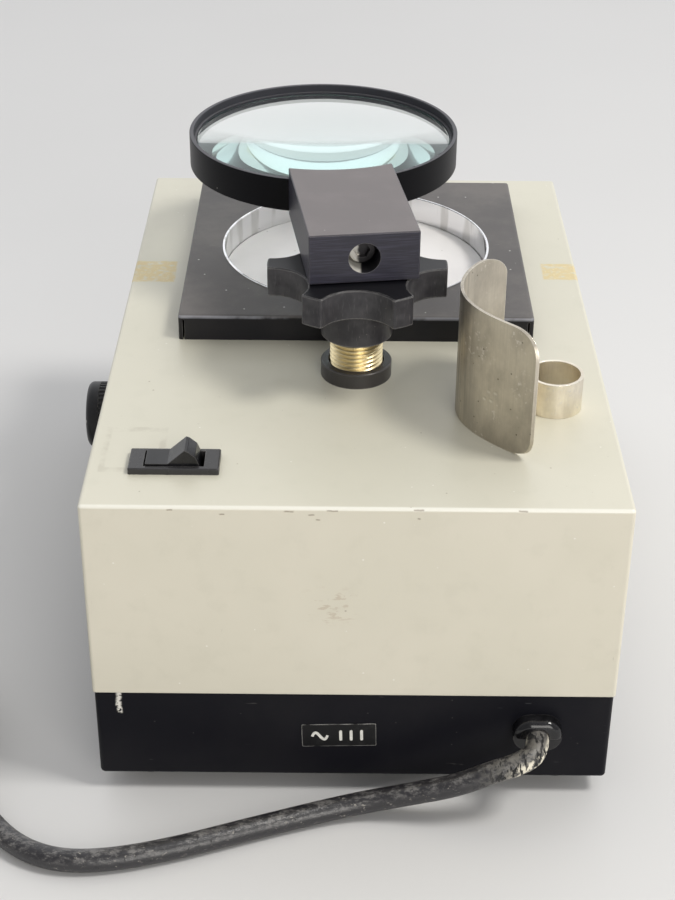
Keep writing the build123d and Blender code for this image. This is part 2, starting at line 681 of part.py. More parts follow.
with BuildPart() as focus_knob:
    with BuildSketch(Plane.XY.offset(TOP_Z + STAR_BOTTOM)) as star:
        with Locations((0, POST_Y)):
            Circle(STAR_R)
            with PolarLocations(SCALLOP_BOTTOM + SCALLOP_R, LOBES, start_angle=180 / LOBES):
                Circle(SCALLOP_R, mode=Mode.SUBTRACT)
        fillet(star.vertices(), 1.0)
    extrude(amount=STAR_TOP - STAR_BOTTOM)
    fillet(focus_knob.faces().sort_by(Axis.Z)[-1].edges(), 0.4)
    fillet(focus_knob.faces().sort_by(Axis.Z)[0].edges(), 0.4)
    with BuildSketch(Plane.XY.offset(TOP_Z + HUB_BOTTOM)):
        with Locations((0, POST_Y)):
            Circle(HUB_R)
    extrude(amount=STAR_BOTTOM - HUB_BOTTOM + 1)
    chamfer(focus_knob.faces().sort_by(Axis.Z)[0].edges(), 0.5)
    with BuildSketch(Plane.XY.offset(TOP_Z + HUB_BOTTOM)):
        with Locations((0, POST_Y)):
            Circle(THREAD_R + 0.07)
    extrude(amount=KNOB_CEILING - HUB_BOTTOM, mode=Mode.SUBTRACT)
    with BuildSketch(Plane.XY.offset(TOP_Z + HUB_BOTTOM)):
        with Locations((0, POST_Y)):
            Circle(ROD_R + 0.05)
    extrude(amount=STAR_TOP, mode=Mode.SUBTRACT)
save(focus_knob, "focus_knob")

with BuildPart() as thrust_washer:
    with BuildSketch(Plane.XY.offset(TOP_Z + STAR_TOP)):
        with Locations((0, POST_Y)):
            Circle(14)
            Circle(ROD_R + 0.05, mode=Mode.SUBTRACT)
    extrude(amount=WASHER_T)
save(thrust_washer, "thrust_washer")

# the arm's own plane: its origin on the post's axis, its Y along the arm
YAW = radians(ARM_YAW)
ARM_DIR = (-sin(YAW), cos(YAW), 0)
ARM_SIDE = (cos(YAW), sin(YAW), 0)
ARM_PLANE = Plane(origin=(0, POST_Y, TOP_Z + ARM_BOTTOM), x_dir=ARM_SIDE, z_dir=(0, 0, 1))
NEAR_FACE = Plane(
    origin=ARM_PLANE.from_local_coords(Vector(0, -ARM_BACK, ARM_H / 2)),
    x_dir=ARM_SIDE,
    z_dir=(sin(YAW), -cos(YAW), 0),
)
HEAD_R, HEAD_H, HEAD_SEAT = 4.9, 3.0, 9.5
SCREW_R = 3.0
ROD_UP = 14.5  # guide rod inside the block

with BuildPart() as arm_block:
    with BuildSketch(ARM_PLANE):
        with Locations((0, (RING_REACH - ARM_BACK) / 2)):
            Rectangle(ARM_W, RING_REACH + ARM_BACK)
        with Locations((0, RING_REACH)):
            Circle(RING_R + 0.02, mode=Mode.SUBTRACT)
            Rectangle(ARM_W + 2, 90, mode=Mode.SUBTRACT)
    extrude(amount=ARM_H)
    chamfer(arm_block.edges().filter_by(GeomType.LINE), 0.35)
    with BuildSketch(ARM_PLANE):
        Circle(ROD_R + 0.02)
    extrude(amount=ROD_UP + 0.2, mode=Mode.SUBTRACT)
    with BuildSketch(NEAR_FACE):
        Circle(SCREW_R + 0.1)
    extrude(amount=-80, mode=Mode.SUBTRACT)
    with BuildSketch(NEAR_FACE):
        Circle(5.5)
    extrude(amount=-HEAD_SEAT, mode=Mode.SUBTRACT)
save(arm_block, "arm_block")

ROD_LOW = -6.0
with BuildPart() as guide_rod:
    with BuildSketch(Plane.XY.offset(TOP_Z + ROD_LOW)):
        with Locations((0, POST_Y)):
            Circle(ROD_R)
    extrude(amount=ARM_BOTTOM + ROD_UP - ROD_LOW)
    with BuildSketch(NEAR_FACE):
        Circle(SCREW_R + 0.1)
    extrude(amount=-40, mode=Mode.SUBTRACT)
save(guide_rod, "guide_rod")

with BuildPart() as arm_screw:
    with BuildSketch(NEAR_FACE.offset(-HEAD_SEAT)):
        Circle(HEAD_R)
    extrude(amount=HEAD_H)
    fillet(arm_screw.faces().sort_by(Axis.Y)[0].edges(), 0.5)
    with BuildSketch(NEAR_FACE.offset(-HEAD_SEAT)):
        Circle(SCREW_R)
    extrude(amount=-(RING_REACH - RING_R + 1.3 + ARM_BACK - HEAD_SEAT))
    with BuildSketch(NEAR_FACE.offset(-HEAD_SEAT + HEAD_H)):
        RegularPolygon(2.5, 6, major_radius=False)
    extrude(amount=-2.2, mode=Mode.SUBTRACT)
save(arm_screw, "arm_screw")

RING_LOW = ARM_BOTTOM + RING_LIFT
LENS_TOP_EDGE = RING_LOW + RING_H - LENS_DROP
RING_PLANE = Plane(
    origin=(-RING_REACH * sin(YAW), POST_Y + RING_REACH * cos(YAW), TOP_Z), x_dir=ARM_SIDE, z_dir=(0, 0, 1)
)
SEAT_W = 1.2

with BuildPart() as lens_ring:
    with BuildSketch(RING_PLANE.offset(RING_LOW)):
        Circle(RING_R)
        Circle(RING_R - RING_WALL, mode=Mode.SUBTRACT)
    extrude(amount=RING_H)
    fillet(lens_ring.faces().sort_by(Axis.Z)[-1].edges(), 0.35)
    with BuildSketch(RING_PLANE.offset(RING_LOW)):
        Circle(RING_R - 0.4)
        Circle(RING_R - RING_WALL - SEAT_W, mode=Mode.SUBTRACT)
    extrude(amount=LENS_TOP_EDGE - LENS_EDGE - RING_LOW - 0.25)
    with BuildSketch(NEAR_FACE):
        Circle(SCREW_R + 0.05)
    extrude(amount=-(RING_REACH - RING_R + RING_WALL + 0.5 + ARM_BACK), mode=Mode.SUBTRACT)
save(lens_ring, "lens_ring")

LENS_SAG = LENS_CURVE - sqrt(LENS_CURVE**2 - LENS_R**2)
with BuildPart() as magnifier_lens:
    with BuildSketch(Plane.XZ):
        with BuildLine():
            Line((0, -LENS_SAG), (0, LENS_EDGE + LENS_SAG))
            RadiusArc((0, LENS_EDGE + LENS_SAG), (LENS_R, LENS_EDGE), LENS_CURVE)
            Line((LENS_R, LENS_EDGE), (LENS_R, 0))
            RadiusArc((LENS_R, 0), (0, -LENS_SAG), LENS_CURVE)
        make_face()
    revolve(axis=Axis.Z)
lens_at = RING_PLANE.origin + Vector(0, 0, LENS_TOP_EDGE - LENS_EDGE)
magnifier_lens.part = magnifier_lens.part.moved(Location(lens_at))
save(magnifier_lens, "magnifier_lens")

with BuildPart() as lens_retainer:
    with BuildSketch(RING_PLANE.offset(LENS_TOP_EDGE + 0.2)):
        Circle(RING_R - RING_WALL - 0.05)
        Circle(RING_R - RING_WALL - 0.9, mode=Mode.SUBTRACT)
    extrude(amount=1.0)
save(lens_retainer, "lens_retainer")

# ---- label on the base -----------------------------------------------------------------------
LABEL_X, LABEL_Z, LABEL_W, LABEL_H = -5.0, 25.2, 25.6, 9.6
LABEL_PLANE = Plane(
    origin=(LABEL_X, BASE_FRONT_Y, LABEL_Z), x_dir=(cos(radians(-1.6)), 0, sin(radians(1.6))), z_dir=(0, -1, 0)
)

with BuildPart() as voltage_label:
    with BuildSketch(LABEL_PLANE):
        RectangleRounded(LABEL_W, LABEL_H, 0.5)
    extrude(amount=0.3)
save(voltage_label, "voltage_label")

with BuildPart() as label_marks:
    with BuildSketch(LABEL_PLANE.offset(0.3)):
        with BuildLine() as wave:
            Spline((-9.2, -0.2), (-7.9, 1.3), (-6.6, -0.1), (-5.3, -1.5), (-4.0, 0.0))
        trace(wave.line, line_width=0.9)
        with Locations((4.2, 0)):
            with GridLocations(3.6, 0, 3, 1):
                SlotOverall(4.4, 1.0, rotation=90)
    extrude(amount=0.3)
save(label_marks, "label_marks")

# ---- mains cord --------------------------------------------------------------------------------
GLAND_FACE_Y = BASE_FRONT_Y - GLAND_L
with BuildPart() as strain_relief:
    with BuildSketch(Plane.XZ.offset(-BASE_FRONT_Y)):
        with Locations((GLAND_X, GLAND_Z)):
            RectangleRounded(GLAND_W, GLAND_HT, 6.2)
    extrude(amount=GLAND_L)
    fillet(strain_relief.faces().sort_by(Axis.Y)[0].edges(), 2.6)
    with BuildSketch(Plane.XZ.offset(-GLAND_FACE_Y)):
        with Locations((GLAND_X, GLAND_Z - GLAND_HT)):
            Rectangle(GLAND_W + 2, 2 * GLAND_HT)
        with Locations((GLAND_X, GLAND_Z)):
            Circle(CORD_R + 0.3)
    extrude(amount=-GLAND_STEP, mode=Mode.SUBTRACT)
    with BuildSketch(Plane.XZ.offset(-BASE_FRONT_Y)):
        with Locations((GLAND_X, GLAND_Z)):
            SlotOverall(14.8, 7.2)
    extrude(amount=-9)
    with BuildSketch(Plane.XZ.offset(-BASE_FRONT_Y - SHEET - 0.1)):
        with Locations((GLAND_X, GLAND_Z)):
            SlotOverall(17.5, 9.5)
    extrude(amount=-3)
save(strain_relief, "strain_relief")


def cord_path(points, label):
    """Straight runs joined by arcs as large as their two runs allow."""
    places = [Vector(*point) for point in points]
    radii = []
    for before, here, after in zip(places, places[1:], places[2:]):
        into, out = here - before, after - here
        shorter = min(into.length, out.length)
        radii.append(0.45 * shorter / tan(radians(into.get_angle(out)) / 2))
    print(label, "smallest radius", round(min(radii), 1), "largest run", end=" ")
    print(round(max((b - a).length for a, b in zip(places, places[1:])), 1))
    return radii


CORD_ROUTE = [
    (62.9, -138.5, 28.2),
    (62.7, -145.6, 27.6),
    (56.6, -149.6, 25.6),
    (47.2, -149.8, 22.0),
    (35.5, -150.4, 16.4),
    (19.0, -148.4, 10.4),
    (1.0, -147.6, 5.2),
    (-17.5, -152.8, 4.0),
    (-38.0, -160.4, 3.95),
    (-58.0, -168.2, 3.95),
    (-78.0, -174.0, 3.95),
    (-95.0, -175.5, 3.95),
    (-108.5, -171.2, 3.95),
    (-119.5, -162.0, 3.95),
    (-129.5, -148.5, 3.95),
    (-136.5, -131.5, 3.95),
    (-138.9, -112.5, 3.95),
]
with BuildPart() as power_cord:
    with BuildLine() as cord_line:
        FilletPolyline(*CORD_ROUTE, radius=cord_path(CORD_ROUTE, "cord"))
    with BuildSketch(Plane(origin=cord_line.line @ 0, z_dir=cord_line.line % 0)):
        Circle(CORD_R)
    sweep(path=cord_line.line)
save(power_cord, "power_cord")
CORD_LENGTH = sum(edge.length for edge in cord_line.edges())
print("cord length", round(CORD_LENGTH, 1), "volume over section times length", end=" ")
print(round(power_cord.part.volume / (pi * CORD_R**2 * CORD_LENGTH), 4))

COIL_HEIGHT = 2 * CORD_R * COIL_LAYERS
with BuildPart() as cord_coil:
    with BuildSketch(Plane.XY.offset(0.05)):
        with Locations((COIL_X, COIL_Y)):
            Circle(COIL_TURN_R[1] + CORD_R)
            Circle(COIL_TURN_R[0] - CORD_R, mode=Mode.SUBTRACT)
    extrude(amount=COIL_HEIGHT)
    fillet(cord_coil.edges(), 3.0)
save(cord_coil, "cord_coil")

PLUG_X = COIL_X - COIL_TURN_R[1]
PLUG_BACK_Y = COIL_Y - 34.0  # where the cord goes into the plug
PLUG_RELIEF, PLUG_BODY = 18.0, 30.0
TAIL_ROUTE = [
    (PLUG_X, COIL_Y + 1.0, 3 * CORD_R),
    (PLUG_X - 0.4, COIL_Y - 12.0, 3 * CORD_R - 0.1),
    (PLUG_X - 1.0, COIL_Y - 23.0, PLUG_HALF + 0.3),
    (PLUG_X - 1.0, PLUG_BACK_Y, PLUG_HALF),
]
with BuildPart() as cord_tail:
    with BuildLine() as tail_line:
        FilletPolyline(*TAIL_ROUTE, radius=cord_path(TAIL_ROUTE, "tail"))
    with BuildSketch(Plane(origin=tail_line.line @ 0, z_dir=tail_line.line % 0)):
        Circle(CORD_R)
    sweep(path=tail_line.line)
save(cord_tail, "cord_tail")

PLUG_PLANE = Plane(origin=(PLUG_X - 1.0, PLUG_BACK_Y, PLUG_HALF), x_dir=(1, 0, 0), z_dir=(0, -1, 0))
with BuildPart() as plug_body:
    with BuildSketch(PLUG_PLANE):
        Circle(5.2)
    with BuildSketch(PLUG_PLANE.offset(PLUG_RELIEF)):
        Circle(7.2)
    loft()
    with BuildSketch(PLUG_PLANE.offset(PLUG_RELIEF)):
        RectangleRounded(20, 17, 6)
    with BuildSketch(PLUG_PLANE.offset(PLUG_RELIEF + 16)):
        RectangleRounded(26, 2 * PLUG_HALF, 7)
    loft()
    with BuildSketch(PLUG_PLANE.offset(PLUG_RELIEF + 16)):
        RectangleRounded(26, 2 * PLUG_HALF, 7)
    extrude(amount=PLUG_BODY - 16)
    fillet(plug_body.faces().sort_by(Axis.Y)[0].edges(), 1.2)
save(plug_body, "plug_body")

with BuildPart() as plug_blades:
    with BuildSketch(PLUG_PLANE.offset(PLUG_RELIEF + PLUG_BODY)):
        with Locations((0, 2.5)):
            with GridLocations(12.7, 0, 2, 1):
                Rectangle(1.5, 6.3)
    extrude(amount=16)
    with BuildSketch(PLUG_PLANE.offset(PLUG_RELIEF + PLUG_BODY)):
        with Locations((0, -5.5)):
            Circle(2.4)
    extrude(amount=19)
save(plug_blades, "plug_blades")

# ---- internal wires ------------------------------------------------------------------------------
WIRE_R = 1.1
WIRES = [
    # from the strain relief to the terminal strip
    [(63.0, -124.6, 29.0), (48.0, -120.8, 30.0), (16.0, -124.5, 26.0), (12.2, -117.5, 17.5)],
    # from the terminal strip up to the switch
    [(-28.0, -112.0, 16.9), (-44.0, -113.0, 40.0), (-52.5, -112.0, 70.0), (-51.9, -110.0, 91.2)],
    # from the switch to the dimmer
    [(-67.9, -110.0, 91.2), (-69.0, -104.0, 72.0), (-76.0, -60.0, 44.0), (-70.9, -20.5, 52.6)],
    # from the transformer to the lamp socket
    [(32.0, -58.3, 36.0), (20.0, -44.0, 28.0), (-4.0, 2.0, 31.0), (-4.0, 27.5, 52.0)],
]
with BuildPart() as internal_wires:
    for route in WIRES:
        with BuildLine() as wire_line:
            FilletPolyline(*route, radius=6)
        with BuildSketch(Plane(origin=wire_line.line @ 0, z_dir=wire_line.line % 0)):
            Circle(WIRE_R)
        sweep(path=wire_line.line)
save(internal_wires, "internal_wires")

# ---- loose guard and its finger ring ---------------------------------------------------------------
GUARD_CURVE = [
    (52.4, -41.0),
    (47.6, -45.0),
    (41.2, -52.0),
    (36.6, -61.0),
    (34.9, -70.5),
    (36.4, -80.0),
    (40.9, -88.5),
    (47.0, -95.5),
    (52.6, -101.0),
    (57.6, -108.0),
]
with BuildPart() as guard_plate:
    with BuildSketch(Plane.XY.offset(TOP_Z + 0.05)):
        with BuildLine() as guard_line:
            Spline(*GUARD_CURVE)
        trace(guard_line.line, line_width=GUARD_T)
    extrude(amount=GUARD_H)
    # rounded corners, cut across the bent sheet
    with BuildSketch(Plane.YZ.offset(GUARD_CURVE[4][0] - 2)):
        with Locations(((GUARD_CURVE[0][1] + GUARD_CURVE[-1][1]) / 2, TOP_Z + 0.05 + GUARD_H / 2)):
            RectangleRounded(GUARD_CURVE[0][1] - GUARD_CURVE[-1][1] - 0.6, GUARD_H, GUARD_CORNER)
    extrude(amount=30, mode=Mode.INTERSECT)
save(guard_plate, "guard_plate")

TAIL_ANGLE = 200.0  # where the strip leaves the round, measured from +X
with BuildPart() as finger_ring:
    with BuildSketch(Plane.XY.offset(TOP_Z + 0.05)):
        with Locations((FINGER_X, FINGER_Y)):
            Circle(FINGER_R)
            Circle(FINGER_R - FINGER_T, mode=Mode.SUBTRACT)
        with BuildLine() as strap_line:
            start = (FINGER_X - FINGER_R + FINGER_T / 2, FINGER_Y)
            Spline(
                start,
                (FINGER_X - 13.0, FINGER_Y - 10.0),
                (44.5, -91.2),
                tangents=[(0, -1), (-0.72, -0.70)],
            )
        trace(strap_line.line, line_width=FINGER_T)
    extrude(amount=FINGER_H)
save(finger_ring, "finger_ring")
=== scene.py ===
"""Lens inspection magnifier: finishes, cord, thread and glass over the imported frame. Metres throughout,
except inside materials, whose coordinates are millimetres."""
from math import cos, radians, sin, sqrt, tau

import bmesh
import bpy
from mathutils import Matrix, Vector


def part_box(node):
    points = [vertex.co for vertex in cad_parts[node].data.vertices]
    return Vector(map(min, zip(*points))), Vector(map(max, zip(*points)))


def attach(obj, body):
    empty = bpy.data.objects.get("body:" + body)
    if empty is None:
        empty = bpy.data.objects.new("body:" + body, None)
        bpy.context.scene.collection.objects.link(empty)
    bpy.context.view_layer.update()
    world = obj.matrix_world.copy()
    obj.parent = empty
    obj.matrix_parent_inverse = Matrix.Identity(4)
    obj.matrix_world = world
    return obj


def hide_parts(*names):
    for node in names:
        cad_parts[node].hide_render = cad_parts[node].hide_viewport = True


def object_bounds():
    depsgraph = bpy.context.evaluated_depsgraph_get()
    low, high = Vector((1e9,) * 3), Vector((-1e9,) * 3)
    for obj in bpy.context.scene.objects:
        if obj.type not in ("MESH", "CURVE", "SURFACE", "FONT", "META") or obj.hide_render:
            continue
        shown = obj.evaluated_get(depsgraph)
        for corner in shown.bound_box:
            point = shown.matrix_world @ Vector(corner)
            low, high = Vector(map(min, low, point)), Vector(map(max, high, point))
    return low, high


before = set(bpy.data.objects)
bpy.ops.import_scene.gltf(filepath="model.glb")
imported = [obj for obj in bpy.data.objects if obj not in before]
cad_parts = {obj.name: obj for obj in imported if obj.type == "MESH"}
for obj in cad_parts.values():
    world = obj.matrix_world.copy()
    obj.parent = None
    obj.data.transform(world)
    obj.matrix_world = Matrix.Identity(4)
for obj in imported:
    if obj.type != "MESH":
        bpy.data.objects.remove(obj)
cad_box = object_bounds()
MM = 0.001


# ---- places read from the frame ------------------------------------------------------------
def lowest(node):
    return Vector(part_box(node)[0])


def highest(node):
    return Vector(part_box(node)[1])


def middle(node):
    return (lowest(node) + highest(node)) / 2


TOP = highest("housing_cover").z  # the cover's top face
FRONT = lowest("housing_cover").y  # the cover's front face
LEFT = lowest("housing_cover").x  # the cover's left face
POST = middle("focus_collar")
PLATE_TOP = highest("stage_pan").z
ARM_YAW = radians(8.1)  # the arm stands this far to the left of straight back


# ---- nodes for materials ---------------------------------------------------------------------
class Finish:
    """A node material with short calls for the patterns used below. Coordinates are in millimetres."""

    def __init__(self, name, color, roughness, metallic=0.0, specular=0.5):
        self.material = bpy.data.materials.new(name)
        self.material.use_nodes = True
        self.tree = self.material.node_tree
        self.shader = self.tree.nodes["Principled BSDF"]
        self.shader.inputs["Metallic"].default_value = metallic
        self.shader.inputs["Specular IOR Level"].default_value = specular
        where = self.node("ShaderNodeTexCoord").outputs["Object"]
        self.where = self.vector("SCALE", where, scale=1000.0)
        axes = self.node("ShaderNodeSeparateXYZ", Vector=self.where)
        self.x, self.y, self.z = (axes.outputs[axis] for axis in "XYZ")
        self.color, self.rough, self.height = color, roughness, None

    def put(self, socket, value):
        if isinstance(value, bpy.types.NodeSocket):
            self.tree.links.new(value, socket)
        elif isinstance(value, (tuple, list)) and len(value) == 3 and socket.type == "RGBA":
            socket.default_value = (*value, 1.0)
        else:
            socket.default_value = value

    def node(self, kind, settings=(), **inputs):
        made = self.tree.nodes.new(kind)
        for key, value in dict(settings).items():
            setattr(made, key, value)
        for key, value in inputs.items():
            self.put(made.inputs[key.replace("_", " ")], value)
        return made

    def vector(self, operation, a, b=None, scale=None):
        made = self.node("ShaderNodeVectorMath", {"operation": operation})
        self.put(made.inputs[0], a)
        if b is not None:
            self.put(made.inputs[1], b)
        if scale is not None:
            self.put(made.inputs["Scale"], scale)
        return made.outputs["Value" if operation == "DOT_PRODUCT" else "Vector"]

    def math(self, operation, a, b=0.0, clamp=False):
        made = self.node("ShaderNodeMath", {"operation": operation, "use_clamp": clamp})
        self.put(made.inputs[0], a)
        self.put(made.inputs[1], b)
        return made.outputs[0]

    def noise(self, size, detail=4.0, stretch=(1, 1, 1), seed=0.0, rough=0.55):
        """Cloudy noise, 0 to 1, whose blotches are about size millimetres, stretched along the axes."""
        scaled = self.vector("MULTIPLY", self.where, tuple(1 / (size * s) for s in stretch))
        moved = self.vector("ADD", scaled, (seed, seed * 0.7, seed * 1.3))
        made = self.node("ShaderNodeTexNoise", Vector=moved, Scale=1.0, Detail=detail, Roughness=rough)
        return made.outputs["Fac"]

    def cells(self, size, seed=0.0):
        """Distance to the nearest of a scatter of points about size millimetres apart."""
        moved = self.vector("ADD", self.vector("SCALE", self.where, scale=1 / size), (seed, seed, seed))
        return self.node("ShaderNodeTexVoronoi", Vector=moved, Scale=1.0).outputs["Distance"]

    def step(self, value, low, high):
        """0 below low and 1 above high, or the other way round where low is the larger."""
        made = self.node("ShaderNodeMapRange", {"interpolation_type": "SMOOTHSTEP"}, Value=value)
        self.put(made.inputs["From Min"], min(low, high))
        self.put(made.inputs["From Max"], max(low, high))
        self.put(made.inputs["To Min"], float(low > high))
        self.put(made.inputs["To Max"], float(low <= high))
        return made.outputs["Result"]

    def normal(self):
        """The way the surface faces."""
        return self.node("ShaderNodeNewGeometry").outputs["Normal"]

    def up(self):
        """How far the surface faces up, from -1 to 1."""
        return self.node("ShaderNodeSeparateXYZ", Vector=self.normal()).outputs["Z"]

    def both(self, *masks):
        """Masks, or a mask and a strength, multiplied."""
        product = masks[0]
        for mask in masks[1:]:
            product = self.math("MULTIPLY", product, mask)
        return product

    def patch(self, low, high, soft=1.0, ragged=0.0):
        """A box in millimetres with soft sides, its outline moved about by noise."""
        product = None
        wobble = self.math("MULTIPLY", self.math("SUBTRACT", self.noise(5.0, 5), 0.5), ragged * 2)
        for value, a, b in zip((self.x, self.y, self.z), low, high):
            value = self.math("ADD", value, wobble) if ragged else value
            inside = self.both(self.step(value, a - soft, a + soft), self.step(value, b + soft, b - soft))
            product = inside if product is None else self.both(product, inside)
        return product

    def edges(self, radius, low=0.02, high=0.25):
        """Where the surface turns a corner within radius millimetres."""
        rounded = self.node("ShaderNodeBevel", {"samples": 6}, Radius=radius * MM)
        flatness = self.vector("DOT_PRODUCT", rounded.outputs["Normal"], self.normal())
        return self.step(self.math("SUBTRACT", 1.0, flatness), low, high)

    def mix(self, mask, color, rough=None):
        """Lays a second color, and roughness, over the first where mask is 1."""
        made = self.node("ShaderNodeMix", {"data_type": "RGBA"})
        self.put(made.inputs["Factor"], mask)
        self.put(made.inputs[6], self.color)
        self.put(made.inputs[7], color)
        self.color = made.outputs[2]
        if rough is not None:
            made = self.node("ShaderNodeMix", {"data_type": "FLOAT"})
            self.put(made.inputs["Factor"], mask)
            self.put(made.inputs[2], self.rough)
            self.put(made.inputs[3], rough)
            self.rough = made.outputs[0]

    def raise_by(self, mask, millimetres):
        """Adds to the surface's height."""
        added = self.math("MULTIPLY", mask, millimetres)
        self.height = added if self.height is None else self.math("ADD", self.height, added)

    def done(self, round_edges=0.0):
        """Connects the shader. round_edges is the radius, in millimetres, that softens sharp corners."""
        self.put(self.shader.inputs["Base Color"], self.color)
        self.put(self.shader.inputs["Roughness"], self.rough)
        normal = None
        if round_edges:
            bevel = self.node("ShaderNodeBevel", {"samples": 6}, Radius=round_edges * MM)
            normal = bevel.outputs["Normal"]
        if self.height is not None:
            made = self.node("ShaderNodeBump", Height=self.height, Distance=MM, Strength=1.0)
            if normal is not None:
                self.put(made.inputs["Normal"], normal)
            normal = made.outputs["Normal"]
        if normal is not None:
            self.put(self.shader.inputs["Normal"], normal)
        return self.material


def paint(material, *objects):
    """Gives a material to CAD nodes, by name, or to pieces."""
    for item in objects:
        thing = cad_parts[item] if isinstance(item, str) else item
        if not thing.material_slots:
            thing.data.materials.append(material)
        for slot in thing.material_slots:
            slot.material = material


# ---- materials ---------------------------------------------------------------------------------
# nicks in the cover's front: place across, height and half width, in millimetres
NICKS = ((-59.7, 117.2, 0.9), (-42.9, 115.9, 0.8), (-21.5, 117.2, 1.5), (-14.5, 115.8, 0.9),
         (-12.4, 114.0, 0.7), (-7.7, 117.5, 1.8), (19.8, 118.0, 1.6), (19.9, 114.8, 0.5), (53.0, 118.0, 1.5))
# dots on the guard's outer face: place along the box and height above the cover, in millimetres
WELD_DOTS = ((-92.8, 19.0), (-95.0, 19.4), (-91.4, 15.6), (-93.6, 15.9))


def cover_enamel():
    """Cream enamel: painted shade on the top face, a painted highlight along the front bend, small nicks, tape
    residue, scuff marks and dust.
    """
    skin = Finish("cover_enamel", (0.665, 0.630, 0.520), 0.36)
    skin.mix(skin.step(skin.noise(60, 3, seed=4), 0.35, 0.7), (0.695, 0.655, 0.545))
    skin.mix(skin.both(skin.step(skin.noise(9, 5, seed=9), 0.5, 0.75), 0.30), (0.60, 0.57, 0.465), 0.45)
    top, front, left = TOP / MM, FRONT / MM, LEFT / MM
    # painted shade: the top face is laid a little darker and greyer than the front
    on_top = skin.step(skin.z, top - 0.8, top - 0.2)
    skin.mix(skin.both(on_top, 0.35), (0.60, 0.60, 0.50))
    glue = skin.math("ADD", skin.patch((-89, 28, top - 1), (-72, 47, top + 1), 0.5, 1.0),
                     skin.patch((75.0, 33, top - 1), (91, 47.5, top + 1), 0.5, 1.0), clamp=True)
    residue = skin.step(skin.noise(2.6, 6, seed=2), 0.25, 0.55)
    skin.mix(skin.both(glue, residue, 0.85), (0.70, 0.56, 0.27), 0.5)
    flakes = skin.step(skin.noise(1.2, 4, seed=24), 0.56, 0.66)
    skin.mix(skin.both(glue, flakes, 0.5), (0.82, 0.72, 0.42), 0.4)
    stained = skin.patch((-85, -115, top - 1), (-64, -86, top + 1), 0.4, 0.5)
    within = skin.patch((-83, -112, top - 1), (-66, -89, top + 1), 0.5, 0.5)
    outline = skin.both(stained, skin.math("SUBTRACT", 1.0, within))
    skin.mix(skin.both(outline, skin.step(skin.noise(7, 3, seed=6), 0.35, 0.6), 0.55), (0.50, 0.47, 0.38))
    scuff = skin.both(skin.patch((-16, front - 1, 74), (-1, front + 1, 86), 2.5, 4.0),
                      skin.step(skin.noise(2.2, 6, (1.8, 1, 0.7), 3), 0.55, 0.62))
    skin.mix(skin.both(scuff, 0.6), (0.40, 0.29, 0.19), 0.6)
    streaks = skin.step(skin.noise(1.4, 3, (1, 1, 7), 21), 0.735, 0.765)
    skin.mix(skin.both(streaks, 0.5), (0.42, 0.38, 0.30))
    # painted highlight: a pale, glossier line along the bend between top and front; the chips below follow the
    # same bend
    bend = skin.both(skin.step(skin.y, front + 1.3, front + 0.6), skin.step(skin.z, top - 1.3, top - 0.6))
    skin.mix(skin.both(bend, 0.7), (0.88, 0.87, 0.80), 0.28)
    for x, z, size in NICKS:
        spot = skin.patch((x - size, front - 1, z - 0.2), (x + size, front + 1.2, z + 0.2), 0.3, 0.6)
        skin.mix(skin.both(spot, 0.75), (0.20, 0.14, 0.09), 0.6)
        skin.raise_by(spot, -0.12)
    chips = skin.both(bend, skin.step(skin.noise(2.0, 5, (2.5, 1, 1), 5), 0.70, 0.73))
    skin.mix(chips, (0.27, 0.20, 0.13), 0.55)
    corner = skin.both(skin.step(skin.x, left + 2.5, left + 0.6), skin.step(skin.y, front + 2, front + 0.5),
                       skin.step(skin.noise(3.0, 5, (1, 1, 3), 13), 0.60, 0.66))
    skin.mix(corner, (0.18, 0.12, 0.07), 0.55)
    skin.mix(skin.both(skin.step(skin.cells(14.0, 5), 0.032, 0.020), 0.7), (0.36, 0.31, 0.23))
    skin.mix(skin.both(skin.step(skin.cells(8.0, 17), 0.050, 0.030), 0.6), (0.88, 0.86, 0.80))
    skin.raise_by(skin.noise(0.9, 2), 0.02)
    skin.raise_by(chips, -0.05)
    return skin.done(0.4)


def black_paint(name, dust, wear_and_highlight_strength, specular=0.3):
    """Satin black paint, not yet done: dust on it, pale edges that are partly wear and partly a painted
    highlight, and fine scratches.
    """
    skin = Finish(name, (0.006, 0.006, 0.009), 0.38, 0.0, specular)
    skin.mix(skin.both(skin.step(skin.noise(30, 5, seed=3), 0.35, 0.7), dust), (0.030, 0.028, 0.028), 0.48)
    skin.mix(skin.both(skin.step(skin.cells(6.5, 8), 0.050, 0.030), dust), (0.30, 0.29, 0.27), 0.8)
    scratch = skin.step(skin.noise(1.1, 2, (9, 0.5, 1), 31), 0.75, 0.79)
    skin.mix(skin.both(scratch, 0.4), (0.10, 0.095, 0.09), 0.4)
    # pale edges: partly wear, partly a painted highlight on the turned corners
    wear_and_highlight_mask = skin.both(skin.edges(0.5), skin.step(skin.noise(6, 5, seed=12), 0.35, 0.65), wear_and_highlight_strength)
    skin.mix(wear_and_highlight_mask, (0.30, 0.29, 0.28), 0.35)
    skin.raise_by(skin.noise(0.7, 2), 0.02)
    return skin


